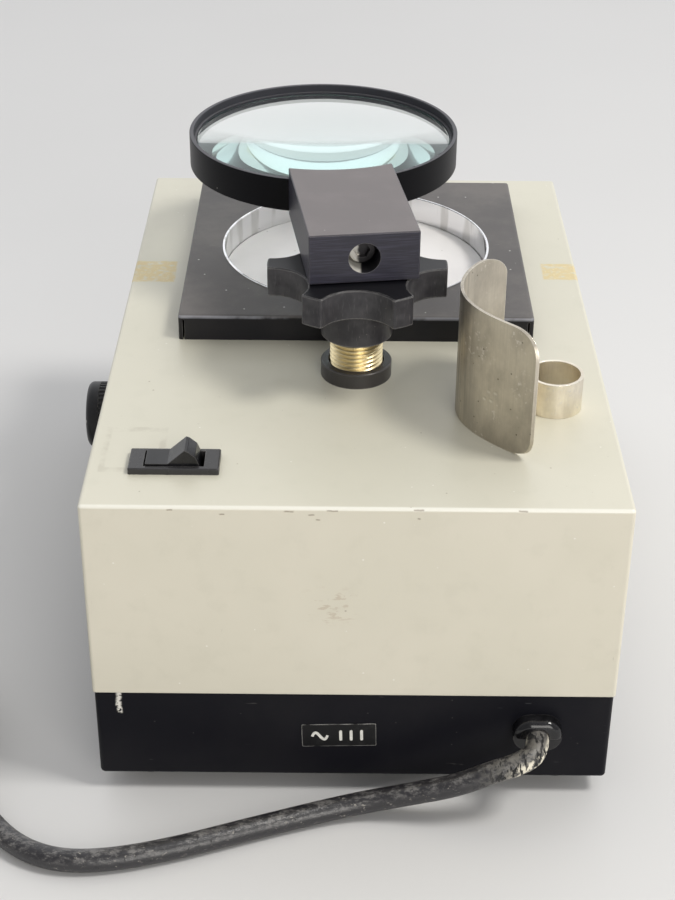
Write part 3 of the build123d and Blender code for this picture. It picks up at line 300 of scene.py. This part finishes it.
def plate_paint():
    """The stage plate: a painted sheen on top with lighter blotches, dust specks and scratches; black on its
    flanges, with a painted highlight along the front bend.
    """
    skin = black_paint("plate_paint", 0.30, 0.6)
    top, front = PLATE_TOP / MM, lowest("stage_pan").y / MM
    # painted sheen: the top face laid grey, in lighter blotches, where it would catch the light
    on_top = skin.step(skin.z, top - 0.9, top - 0.3)
    skin.mix(on_top, (0.090, 0.083, 0.080), 0.42)
    cloud = skin.step(skin.noise(28, 6, seed=7, rough=0.62), 0.40, 0.70)
    skin.mix(skin.both(on_top, cloud), (0.150, 0.138, 0.130), 0.50)
    dust = skin.step(skin.cells(6.0, 9), 0.075, 0.045)
    skin.mix(skin.both(on_top, dust, 0.9), (0.62, 0.60, 0.58), 0.8)
    scratch = skin.step(skin.noise(1.0, 3, (5, 0.6, 1), 14), 0.70, 0.75)
    skin.mix(skin.both(on_top, scratch, 0.5), (0.30, 0.28, 0.27))
    # painted highlight: a pale bluish line along the front bend
    bend = skin.both(skin.step(skin.y, front + 1.3, front + 0.5), skin.step(skin.z, top - 1.5, top - 0.9),
                     skin.step(skin.z, top - 0.02, top - 0.35))
    skin.mix(skin.both(bend, skin.step(skin.noise(12, 4, seed=2), 0.30, 0.60), 0.5), (0.42, 0.43, 0.48), 0.3)
    return skin.done(0.4)


def base_paint():
    """The base's black paint, scraped at the front left corner and scuffed about the cord."""
    skin = black_paint("base_paint", 0.12, 0.35, 0.12)
    front = lowest("base_tray").y / MM
    scrape = skin.both(skin.patch((-80.9, front - 1, 34), (-79.2, front + 1, 43.5), 0.4, 1.6),
                       skin.step(skin.noise(1.5, 5, seed=7), 0.40, 0.48))
    skin.mix(scrape, (0.70, 0.68, 0.62), 0.6)
    rub = skin.both(skin.patch((50, front - 1, 14), (88, front + 1, 40), 3.0, 4.0),
                    skin.step(skin.noise(1.3, 4, (4, 1, 0.8), 27), 0.68, 0.72))
    skin.mix(skin.both(rub, 0.6), (0.15, 0.15, 0.155), 0.4)
    return skin.done(0.4)


def anodised(name, grain, face, sheen=(0.155, 0.138, 0.138), specular=0.4):
    """Black anodised aluminium, not yet done: brushed along the axes where grain is long, with a painted sheen
    on top.
    """
    skin = Finish(name, face, 0.36, 0.0, specular)
    lines = skin.noise(0.35, 3, grain, 5)
    skin.mix(skin.both(skin.step(lines, 0.42, 0.72), 0.7), tuple(2.4 * c for c in face), 0.42)
    # painted sheen: faces that look up are laid paler, unevenly
    on_top = skin.step(skin.up(), 0.6, 0.95)
    skin.mix(on_top, sheen, 0.46)
    skin.mix(skin.both(on_top, skin.step(skin.noise(14, 5, seed=8), 0.4, 0.75), 0.6),
             tuple(1.25 * c for c in sheen), 0.5)
    skin.mix(skin.both(skin.step(skin.cells(9.0, 3), 0.030, 0.018), 0.6), (0.55, 0.53, 0.50), 0.8)
    # pale edges: partly wear, partly a painted highlight
    skin.mix(skin.both(skin.edges(0.35), skin.step(skin.noise(4, 5, seed=2), 0.3, 0.55), 0.75),
             (0.40, 0.385, 0.39), 0.3)
    skin.raise_by(lines, 0.010)
    return skin


def arm_finish():
    """The arm: brushed across its ends; the screw's bore painted dark as shade, with painted light down its
    left side, where the metal is bare.
    """
    skin = anodised("arm_anodised", (30, 30, 1), (0.020, 0.019, 0.030))
    near = lowest("arm_block").y / MM
    along = skin.vector("DOT_PRODUCT", skin.normal(), (-sin(ARM_YAW), -cos(ARM_YAW), 0.0))
    # painted shade: the walls of the screw's bore laid darker than the anodising
    bore = skin.both(skin.patch((-6.0, near - 1, 164), (10.0, near + 14, 178), 0.3),
                     skin.step(skin.math("ABSOLUTE", along), 0.6, 0.2))
    skin.mix(bore, (0.006, 0.006, 0.009), 0.4)
    # painted light: the bore's left wall laid bright, bare metal where light falls in
    skin.mix(skin.both(bore, skin.step(skin.x, 1.5, 0.5)), (0.66, 0.64, 0.59), 0.25)
    return skin.done(0.3)


def ring_finish():
    """The lens ring: deep black outside, greyer on its inner wall."""
    skin = anodised("ring_anodised", (1, 1, 1), (0.002, 0.002, 0.003), (0.10, 0.10, 0.11), 0.10)
    outward = skin.vector("SUBTRACT", skin.where, tuple(middle("lens_ring") / MM))
    facing = skin.vector("DOT_PRODUCT", outward, skin.normal())
    skin.mix(skin.step(facing, -20, -40), (0.045, 0.046, 0.054), 0.4)
    return skin.done(0.3)


def screw_finish():
    """The arm's socket screw: blackened, with painted light on its left side."""
    skin = Finish("screw_finish", (0.045, 0.043, 0.045), 0.35, 1.0)
    # painted light: the screw's left side laid bright, as if lit inside the bore
    wear_and_highlight_mask = skin.step(skin.math("ADD", skin.x, skin.both(skin.noise(2.0, 4, seed=5), 2.4)), 1.9, 0.6)
    skin.mix(wear_and_highlight_mask, (0.50, 0.485, 0.45), 0.28)
    return skin.done(0.15)


def moulded(name, rough, wear_and_highlight_strength, color=(0.012, 0.012, 0.014), specular=0.4):
    """Moulded black plastic with grey corners, partly wear and partly a painted highlight."""
    skin = Finish(name, color, rough, 0.0, specular)
    cloud = skin.step(skin.noise(8, 5, seed=3), 0.4, 0.75)
    skin.mix(skin.both(cloud, 0.5), (0.035, 0.034, 0.038), rough + 0.08)
    # grey corners: partly wear, partly a painted highlight
    skin.mix(skin.both(skin.edges(0.7), skin.step(skin.noise(3, 5, seed=9), 0.25, 0.6), wear_and_highlight_strength),
             (0.26, 0.245, 0.235), rough + 0.1)
    skin.mix(skin.both(skin.step(skin.cells(4.2, 6), 0.045, 0.028), wear_and_highlight_strength * 0.7), (0.42, 0.40, 0.37), 0.8)
    skin.raise_by(skin.noise(0.6, 3), 0.012)
    return skin.done(0.25)


def knob_plastic():
    """The star knob: dark on top; its walls grey with upright streaks, partly scuffing and partly a painted
    sheen; pale along its edges, partly wear and partly a painted highlight.
    """
    skin = Finish("knob_plastic", (0.006, 0.006, 0.008), 0.32, 0.0, 0.28)
    wall = skin.step(skin.math("ABSOLUTE", skin.up()), 0.7, 0.3)
    scuffs_and_highlights = skin.noise(1.1, 6, (0.6, 0.6, 4), 17, 0.7)
    # painted sheen and scuffing: the walls laid greyer than the top, with upright streaks
    skin.mix(skin.both(wall, 0.85), (0.034, 0.033, 0.038), 0.34)
    skin.mix(skin.both(wall, skin.step(skin.noise(9, 3, seed=5), 0.35, 0.75), 0.5), (0.100, 0.097, 0.103), 0.40)
    skin.mix(skin.both(wall, skin.step(scuffs_and_highlights, 0.54, 0.74), 0.3), (0.20, 0.193, 0.197), 0.42)
    # pale edges: partly wear, partly a painted highlight
    skin.mix(skin.both(skin.edges(1.1, 0.02, 0.12), skin.step(skin.noise(3, 5, seed=9), 0.15, 0.50), 0.8),
             (0.36, 0.35, 0.34), 0.38)
    skin.mix(skin.both(skin.step(skin.cells(3.2, 6), 0.05, 0.03), 0.6), (0.42, 0.40, 0.37), 0.8)
    skin.raise_by(scuffs_and_highlights, 0.006)
    return skin.done(0.3)


def metal(name, color, rough):
    """Bare or plated metal with cloudy tarnish and a fine grain."""
    skin = Finish(name, color, rough, 1.0)
    dull = tuple(0.55 * c for c in color)
    skin.mix(skin.both(skin.step(skin.noise(7, 6, seed=4), 0.42, 0.72), 0.3), dull, rough + 0.15)
    grain = skin.noise(0.4, 3, seed=8)
    skin.mix(skin.both(skin.step(grain, 0.4, 0.7), 0.3), dull, rough + 0.05)
    skin.raise_by(grain, 0.006)
    return skin.done(0.15)


def nickel_sheet(name, bright, dark):
    """Old nickel plate, not yet done: upright rolling lines, clouds of tarnish, pale mottling and pits."""
    skin = Finish(name, bright, 0.40, 1.0)
    skin.mix(skin.both(skin.step(skin.noise(18, 6, (1, 1, 1.6), 4, 0.62), 0.36, 0.66), 0.8), dark, 0.45)
    rolled = skin.noise(0.5, 3, (1, 1, 40), 3)
    skin.mix(skin.both(skin.step(rolled, 0.4, 0.7), 0.2), dark, 0.42)
    mottle = skin.both(skin.step(skin.noise(1.5, 6, seed=15), 0.56, 0.66),
                       skin.step(skin.noise(12, 4, seed=1), 0.50, 0.62))
    skin.mix(skin.both(mottle, 0.7), (0.74, 0.70, 0.64), 0.5)
    skin.mix(skin.both(skin.step(skin.cells(4.6, 4), 0.085, 0.045), 0.75), (0.10, 0.085, 0.065), 0.6)
    # painted highlight: a bright pale line along every edge of the sheet
    skin.mix(skin.both(skin.edges(0.4), 0.9), (0.92, 0.88, 0.78), 0.22)
    skin.raise_by(rolled, 0.006)
    skin.raise_by(mottle, 0.03)
    return skin


def guard_finish():
    """The guard: a painted reflection of dark surroundings in upright bands up its near bend, and four weld
    dots.
    """
    skin = nickel_sheet("guard_nickel", (0.60, 0.55, 0.46), (0.37, 0.335, 0.28))
    low = TOP / MM
    # painted reflection: dark upright bands up the near bend, where the metal mirrors dark surroundings
    bands = skin.both(skin.step(skin.x, 41.5, 36.0), skin.step(skin.noise(3.2, 5, (1, 1, 14), 6), 0.42, 0.62))
    skin.mix(skin.both(bands, 0.35), (0.11, 0.10, 0.088), 0.45)
    for y, z in WELD_DOTS:
        dot = skin.patch((20, y - 0.5, low + z - 0.5), (60, y + 0.5, low + z + 0.5), 0.35)
        skin.mix(skin.both(dot, 0.45), (0.76, 0.72, 0.64), 0.3)
        skin.raise_by(dot, -0.12)
    return skin.done(0.15)


def plain(name, color, rough, spread=0.25, size=4.0):
    """One finish with a little cloudy variation."""
    skin = Finish(name, color, rough)
    skin.mix(skin.step(skin.noise(size, 5), 0.35, 0.7), tuple(c * (1 - spread) for c in color), rough + 0.08)
    skin.raise_by(skin.noise(size / 6, 3), 0.02)
    return skin.done()


def tape_plastic():
    """Embossing tape: glossy black, gone white in places along its edges."""
    skin = Finish("tape_plastic", (0.008, 0.008, 0.009), 0.30, 0.0, 0.2)
    wear_and_highlight_mask = skin.both(skin.edges(0.5), skin.step(skin.noise(5, 5, seed=4), 0.35, 0.55), 0.85)
    skin.mix(wear_and_highlight_mask, (0.62, 0.61, 0.58), 0.5)
    skin.mix(skin.both(skin.step(skin.noise(3, 4, seed=8), 0.5, 0.75), 0.4), (0.03, 0.03, 0.03), 0.4)
    return skin.done(0.15)


def opal_disc():
    """The satin, milky disc that the lamp lights from below."""
    skin = Finish("opal_disc", (0.90, 0.87, 0.85), 0.28)
    skin.mix(skin.both(skin.step(skin.noise(25, 5, seed=2), 0.35, 0.7), 0.6), (0.82, 0.79, 0.78), 0.36)
    skin.mix(skin.both(skin.step(skin.cells(8, 2), 0.05, 0.03), 0.6), (0.35, 0.33, 0.31), 0.7)
    skin.shader.inputs["Subsurface Weight"].default_value = 0.15
    skin.shader.inputs["Subsurface Radius"].default_value = (0.003, 0.003, 0.003)
    return skin.done()


def polished_steel():
    """The stage ring's bright steel, clouded in a few bands."""
    skin = Finish("polished_steel", (0.82, 0.82, 0.83), 0.05, 1.0)
    skin.mix(skin.both(skin.step(skin.noise(9, 3, (1, 1, 6), 7), 0.50, 0.62), 0.6), (0.50, 0.49, 0.47), 0.12)
    skin.raise_by(skin.noise(9, 2, (1, 1, 4)), 0.05)
    return skin.done(0.15)


def lens_crown():
    """Optical glass with a faint smear, greener the further light goes inside it."""
    skin = Finish("lens_crown", (0.97, 0.985, 0.98), 0.012)
    skin.shader.inputs["Transmission Weight"].default_value = 1.0
    skin.shader.inputs["IOR"].default_value = 1.52
    smear = skin.step(skin.noise(22, 5, seed=5), 0.50, 0.80)
    skin.mix(smear, (0.95, 0.975, 0.965), 0.022)
    depth = skin.node("ShaderNodeVolumeAbsorption", Color=(0.22, 0.76, 0.71, 1.0), Density=6.0)
    skin.tree.links.new(depth.outputs["Volume"], skin.tree.nodes["Material Output"].inputs["Volume"])
    return skin.done()


def ground_rim():
    """The lens's edge, ground matt."""
    skin = Finish("ground_rim", (0.80, 0.95, 0.92), 0.6)
    skin.mix(skin.step(skin.noise(3, 4, seed=2), 0.3, 0.7), (0.72, 0.90, 0.87))
    return skin.done()


def bulb_frost():
    """The lamp's frosted bulb, out of sight inside the box."""
    skin = Finish("bulb_frost", (0.86, 0.86, 0.84), 0.45)
    skin.mix(skin.step(skin.noise(6, 4), 0.4, 0.7), (0.78, 0.78, 0.76))
    return skin.done()


def cord_rubber():
    """Old rubber: crazed, paler along its top, partly a pale bloom and partly a painted highlight, and torn
    open to its filler where it leaves the box.
    """
    skin = Finish("cord_rubber", (0.020, 0.019, 0.022), 0.30, 0.0, 0.7)
    up = skin.up()
    # paler along the top: partly a pale bloom on the rubber, partly a painted highlight
    pale_bloom_and_highlight = skin.step(skin.noise(2.0, 7, (2.2, 1.2, 1), 3, 0.78), 0.46, 0.62)
    skin.mix(skin.both(pale_bloom_and_highlight, skin.step(up, 0.1, 0.8), 0.75), (0.20, 0.192, 0.185), 0.42)
    speck = skin.step(skin.noise(1.2, 5, (1.5, 1.0, 1.0), 23, 0.7), 0.60, 0.67)
    skin.mix(skin.both(speck, skin.step(skin.noise(14, 4, seed=6), 0.40, 0.60), 0.8), (0.46, 0.43, 0.38), 0.75)
    cracks = skin.step(skin.noise(1.3, 6, (0.5, 1.4, 1.4), 11, 0.7), 0.63, 0.68)
    skin.mix(skin.both(cracks, 0.7), (0.006, 0.006, 0.006), 0.75)
    near_box = skin.both(skin.step(skin.x, 36, 54), skin.step(skin.y, -130, -136))
    scuffed = skin.both(near_box, skin.step(skin.noise(2.4, 7, seed=19, rough=0.7), 0.42, 0.56))
    skin.mix(skin.both(scuffed, 0.8), (0.165, 0.156, 0.138), 0.5)
    side = skin.both(skin.step(skin.x, 50, 58), skin.step(up, 0.75, 0.2))
    torn = skin.both(near_box, side, skin.step(skin.noise(1.9, 6, seed=33), 0.44, 0.50))
    skin.mix(torn, (0.78, 0.73, 0.60), 0.85)
    split = skin.both(near_box, skin.step(skin.noise(2.6, 3, (0.5, 1.6, 1.6), 41), 0.56, 0.60))
    skin.mix(split, (0.006, 0.006, 0.006), 0.8)
    skin.raise_by(split, -0.5)
    skin.raise_by(skin.noise(2.2, 6, (1, 1, 1), 3, 0.65), 0.22)
    skin.raise_by(cracks, -0.15)
    skin.raise_by(torn, 0.25)
    return skin.done()


def floor_paint():
    """Plain pale grey."""
    skin = Finish("floor_paint", (0.70, 0.695, 0.69), 0.7)
    skin.mix(skin.step(skin.noise(400, 3), 0.3, 0.7), (0.68, 0.675, 0.67))
    return skin.done()


# ---- pieces ------------------------------------------------------------------------------------
def piece_from(name, builder, smooth=True):
    """A new mesh piece from a filled bmesh."""
    mesh = bpy.data.meshes.new(name)
    builder.to_mesh(mesh)
    builder.free()
    for face in mesh.polygons:
        face.use_smooth = smooth
    made = bpy.data.objects.new(name, mesh)
    bpy.context.scene.collection.objects.link(made)
    return made


def spun(name, section, centre, steps):
    """A solid of revolution about Z from (radius, height) points that start and end on the axis or meet."""
    builder = bmesh.new()
    points = [builder.verts.new((radius, 0, height)) for radius, height in section]
    lines = [builder.edges.new(pair) for pair in zip(points, points[1:])]
    bmesh.ops.spin(builder, geom=points + lines, cent=(0, 0, 0), axis=(0, 0, 1), angle=tau, steps=steps,
                   use_merge=True, use_duplicate=False)
    bmesh.ops.remove_doubles(builder, verts=builder.verts, dist=1e-6)
    bmesh.ops.recalc_face_normals(builder, faces=builder.faces)
    bmesh.ops.translate(builder, verts=builder.verts, vec=centre)
    return piece_from(name, builder)


LENS_CURVE = 290 * MM  # radius of both faces of the lens
LENS_RINGS, LENS_STEPS = 40, 160


def glass_lens():
    """The magnifier's biconvex glass, finely divided so that what it bends stays smooth."""
    low, high = lowest("magnifier_lens"), highest("magnifier_lens")
    rim = (high.x - low.x) / 2
    sag = LENS_CURVE - sqrt(LENS_CURVE**2 - rim**2)
    edge = high.z - low.z - 2 * sag
    radii = [rim * k / LENS_RINGS for k in range(LENS_RINGS + 1)]
    upper = [(r, edge / 2 + sag - LENS_CURVE + sqrt(LENS_CURVE**2 - r**2)) for r in radii]
    lower = [(r, -height) for r, height in reversed(upper)]
    made = spun("glass_lens", upper + lower, (low + high) / 2, LENS_STEPS)
    made.data.materials.append(lens_crown())
    made.data.materials.append(ground_rim())
    for face in made.data.polygons:
        face.material_index = int(abs(face.normal.z) < 0.5)  # the second material is the upright rim's
    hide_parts("magnifier_lens")
    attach(made, "magnifier_arm")


THREAD_PITCH = 1.5875 * MM
THREAD_DEPTH = 0.85 * MM
SLEEVE_BORE = 5.05 * MM  # radius of the bore that the guide rod slides in
SHANK_R = 8.0 * MM  # the sleeve's plain shank, through the cover
COLLAR_SEAT = 3.2 * MM  # the thread starts this far above the cover


def brass_thread():
    """The focusing sleeve with a true right-hand helix from the collar up."""
    low, high = lowest("focus_screw"), highest("focus_screw")
    major, start = (high.x - low.x) / 2, TOP + COLLAR_SEAT
    per_turn, across = 64, 8  # points round a turn and rows along a pitch
    rows = int((high.z - start) / THREAD_PITCH * across)
    builder = bmesh.new()
    grid = []
    for row in range(rows + 1):
        height = start + row * THREAD_PITCH / across
        ring = []
        for step in range(per_turn):
            angle = tau * step / per_turn
            phase = ((height - start) / THREAD_PITCH - step / per_turn) % 1.0
            crest = min(1.0, max(0.0, (1 - abs(2 * phase - 1)) * 1.25 - 0.1))  # flattened at crest and root
            radius = major - THREAD_DEPTH * (1 - crest)
            ring.append(builder.verts.new((radius * cos(angle), radius * sin(angle), height)))
        grid.append(ring)
    for radius, height in ((SLEEVE_BORE, grid[-1][0].co.z), (SLEEVE_BORE, low.z), (SHANK_R, low.z),
                           (SHANK_R, start)):
        angles = (tau * k / per_turn for k in range(per_turn))
        grid.append([builder.verts.new((radius * cos(a), radius * sin(a), height)) for a in angles])
    for row, below in enumerate(grid):
        above = grid[(row + 1) % len(grid)]
        for k in range(per_turn):
            builder.faces.new((below[k], below[(k + 1) % per_turn], above[(k + 1) % per_turn], above[k]))
    bmesh.ops.recalc_face_normals(builder, faces=builder.faces)
    bmesh.ops.translate(builder, verts=builder.verts, vec=(POST.x, POST.y, 0))
    made = piece_from("brass_thread", builder, smooth=False)
    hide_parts("focus_screw")
    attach(made, "housing")
    return made


# ---- cord ----------------------------------------------------------------------------------------
CORD_D = 7.8 * MM
# control points in millimetres, the same as those of the CAD tube
CORD_ROUTE = [
    (62.9, -138.5, 28.2), (62.7, -145.6, 27.6), (56.6, -149.6, 25.6), (47.2, -149.8, 22.0),
    (35.5, -150.4, 16.4), (19.0, -148.4, 10.4), (1.0, -147.6, 5.2), (-17.5, -152.8, 4.0),
    (-38.0, -160.4, 3.95), (-58.0, -168.2, 3.95), (-78.0, -174.0, 3.95), (-95.0, -175.5, 3.95),
    (-108.5, -171.2, 3.95), (-119.5, -162.0, 3.95), (-129.5, -148.5, 3.95), (-136.5, -131.5, 3.95),
]
COIL_INNER, COIL_OUTER = 39.1, 46.9  # mean radii of the two columns of turns
TURN_POINTS = 16
# (degrees from the coil's right-hand side where the cord leaves a place, its column's radius, its layer)
COIL_MOVES = [(310, COIL_OUTER, 0), (360 + 260, COIL_INNER, 0), (720 + 210, COIL_INNER, 1),
              (1080 + 160, COIL_INNER, 2), (1440 + 110, COIL_OUTER, 2), (1800 + 180, COIL_OUTER, 1)]
MOVE_SPAN = 50.0  # degrees that each move to the next place takes


def coil_points(centre, bottom):
    """Control points of the neat coil, worked out turn by turn, in millimetres."""
    points = []
    for step in range(int(COIL_MOVES[-1][0] / 360 * TURN_POINTS) + 1):
        angle = step * 360 / TURN_POINTS
        place = next(k for k, move in enumerate(COIL_MOVES) if angle <= move[0] + MOVE_SPAN)
        leaves, radius, layer = COIL_MOVES[place]
        part = max(0.0, (angle - leaves) / MOVE_SPAN)
        if part and place + 1 < len(COIL_MOVES):
            smooth = part * part * (3 - 2 * part)
            radius += (COIL_MOVES[place + 1][1] - radius) * smooth
            layer += (COIL_MOVES[place + 1][2] - layer) * smooth
        radius /= 0.25 * cos(tau / TURN_POINTS) + 0.75  # a spline runs inside its control points
        turn = radians(angle)
        points.append((centre.x / MM + radius * cos(turn), centre.y / MM + radius * sin(turn),
                       bottom / MM + CORD_D / MM * (0.5 + layer)))
    return points


def power_cord():
    """The old, scuffed cord: along the bench, into a neat coil out of view, and on to its plug."""
    coil = middle("cord_coil")
    tail_end = lowest("cord_tail")
    plug = middle("plug_body")
    turns = coil_points(coil, lowest("cord_coil").z)
    # past the coil the cord runs straight on, then down to the height of the plug
    left, _, height = turns[-1]
    tail = [(left, coil.y / MM - 12.0, height), (plug.x / MM, coil.y / MM - 23.0, plug.z / MM + 0.3),
            (plug.x / MM, tail_end.y / MM, plug.z / MM)]
    points = [Vector(point) * MM for point in CORD_ROUTE + turns + tail]
    line = bpy.data.curves.new("power_cord_line", "CURVE")
    line.dimensions = "3D"
    line.bevel_depth, line.bevel_resolution, line.resolution_u = 1.0, 6, 6
    line.use_fill_caps = True
    spline = line.splines.new("NURBS")
    spline.points.add(len(points) - 1)
    for control, point in zip(spline.points, points):
        control.co = (*point, 1.0)
        control.radius = CORD_D / 2
    spline.order_u = 3
    spline.use_endpoint_u = True
    made = bpy.data.objects.new("mains_cord", line)
    bpy.context.scene.collection.objects.link(made)
    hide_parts("power_cord", "cord_coil", "cord_tail")
    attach(made, "housing")
    return made


# ---- dressing the frame ----------------------------------------------------------------------------
paint(cover_enamel(), "housing_cover")
paint(plate_paint(), "stage_pan")
paint(base_paint(), "base_tray")
paint(black_paint("inner_paint", 0.2, 0.2).done(), "lamp_stand")
paint(arm_finish(), "arm_block")
paint(ring_finish(), "lens_ring", "lens_retainer")
paint(knob_plastic(), "focus_knob")
paint(moulded("collar_black", 0.32, 0.9, (0.045, 0.042, 0.040)), "focus_collar")
paint(moulded("dimmer_plastic", 0.42, 0.5), "dimmer_knob", "dimmer_body")
paint(moulded("bezel_plastic", 0.26, 0.6, (0.036, 0.035, 0.036)), "switch_bezel", "terminal_strip")
paint(moulded("rocker_plastic", 0.16, 0.25, (0.005, 0.005, 0.006)), "switch_rocker")
paint(moulded("relief_rubber", 0.12, 0.35, (0.005, 0.005, 0.006), 0.5), "strain_relief", "plug_body")
paint(plain("feet_rubber", (0.020, 0.020, 0.020), 0.7), "rubber_feet")
paint(tape_plastic(), "voltage_label")
paint(plain("tape_white", (0.78, 0.77, 0.72), 0.5, 0.15, 1.5), "label_marks")
paint(plain("pointer_white", (0.80, 0.79, 0.74), 0.5, 0.2, 2.0), "knob_pointer")
paint(opal_disc(), "diffuser_disc")
paint(polished_steel(), "stage_ring")
paint(guard_finish(), "guard_plate")
paint(nickel_sheet("finger_nickel", (0.95, 0.89, 0.76), (0.66, 0.60, 0.50)).done(0.15), "finger_ring")
paint(metal("plated_steel", (0.56, 0.56, 0.54), 0.30), "cover_brackets", "foot_screws", "stage_studs",
      "stage_nuts", "chassis_screws", "terminal_screws", "focus_backplate", "focus_nut", "transformer_frame",
      "thrust_washer", "dimmer_nut", "guide_rod", "dimmer_shaft")
paint(screw_finish(), "arm_screw")
paint(metal("screw_black", (0.10, 0.10, 0.11), 0.35), "cover_screws", "knob_set_screw")
paint(metal("blade_brass", (0.72, 0.56, 0.30), 0.28), "plug_blades", "switch_terminals")
paint(metal("spun_aluminium", (0.80, 0.80, 0.79), 0.22), "lamp_reflector")
paint(metal("core_iron", (0.12, 0.11, 0.11), 0.5), "transformer_core")
paint(plain("coil_paper", (0.46, 0.31, 0.12), 0.45), "transformer_coil")
paint(plain("socket_ceramic", (0.80, 0.78, 0.72), 0.2), "lamp_socket")
paint(plain("ground_green", (0.06, 0.24, 0.09), 0.4), "ground_screw")
paint(plain("wire_cloth", (0.16, 0.14, 0.12), 0.8, 0.5, 1.0), "internal_wires")
paint(bulb_frost(), "lamp_bulb")
glass_lens()
paint(metal("thread_brass", (0.90, 0.77, 0.48), 0.34), brass_thread())
paint(cord_rubber(), power_cord())


# ---- studio -----------------------------------------------------------------------------------------
def studio():
    """Pale floor, a sky brighter behind, a soft key from the upper right and a fill from the front."""
    builder = bmesh.new()
    bmesh.ops.create_grid(builder, x_segments=1, y_segments=1, size=6.0)
    floor = piece_from("floor", builder, smooth=False)
    floor.location.z = cad_box[0][2] - 0.0002
    floor.data.materials.append(floor_paint())
    world = bpy.data.worlds.new("studio")
    world.use_nodes = True
    sky = world.node_tree
    way = sky.nodes.new("ShaderNodeSeparateXYZ")
    sky.links.new(sky.nodes.new("ShaderNodeTexCoord").outputs["Generated"], way.inputs[0])
    glow = sky.nodes.new("ShaderNodeMapRange")
    glow.interpolation_type = "SMOOTHSTEP"
    for name, value in (("From Min", -0.5), ("From Max", 0.9), ("To Min", 0.34), ("To Max", 1.2)):
        glow.inputs[name].default_value = value
    sky.links.new(way.outputs["Y"], glow.inputs["Value"])
    backdrop = sky.nodes["Background"]
    backdrop.inputs["Color"].default_value = (0.97, 0.98, 1.0, 1.0)
    sky.links.new(glow.outputs["Result"], backdrop.inputs["Strength"])
    bpy.context.scene.world = world
    target = Vector((0, 0, 0.1))
    for name, place, size, power, tint in (
        ("key_softbox", (1.1, -0.4, 1.8), 0.5, 21.0, (1.0, 0.98, 0.94)),
        ("front_fill", (0.7, -2.0, 0.8), 1.2, 20.0, (1.0, 0.97, 0.92)),
    ):
        light = bpy.data.lights.new(name, "AREA")
        light.energy, light.size, light.color = power, size, tint
        lamp = bpy.data.objects.new(name, light)
        lamp.location = place
        lamp.rotation_euler = (target - Vector(place)).to_track_quat("-Z", "Y").to_euler()
        lamp.visible_camera = False
        bpy.context.scene.collection.objects.link(lamp)
    bpy.context.scene.view_settings.view_transform = "Standard"
    bpy.context.scene.cycles.glossy_bounces = 10  # the lens turns light back five times and more inside it


def camera():
    """The photograph's viewing angle."""
    lens = bpy.data.cameras.new("camera")
    lens.sensor_width, lens.lens = 36.0, 70.5
    lens.clip_start, lens.clip_end = 0.01, 50.0
    view = bpy.data.objects.new("camera", lens)
    view.location = (-0.0052, -0.6042, 0.4237)
    view.rotation_euler = (radians(58.83), radians(-0.38), radians(0.36))
    bpy.context.scene.collection.objects.link(view)
    bpy.context.scene.camera = view


studio()
camera()
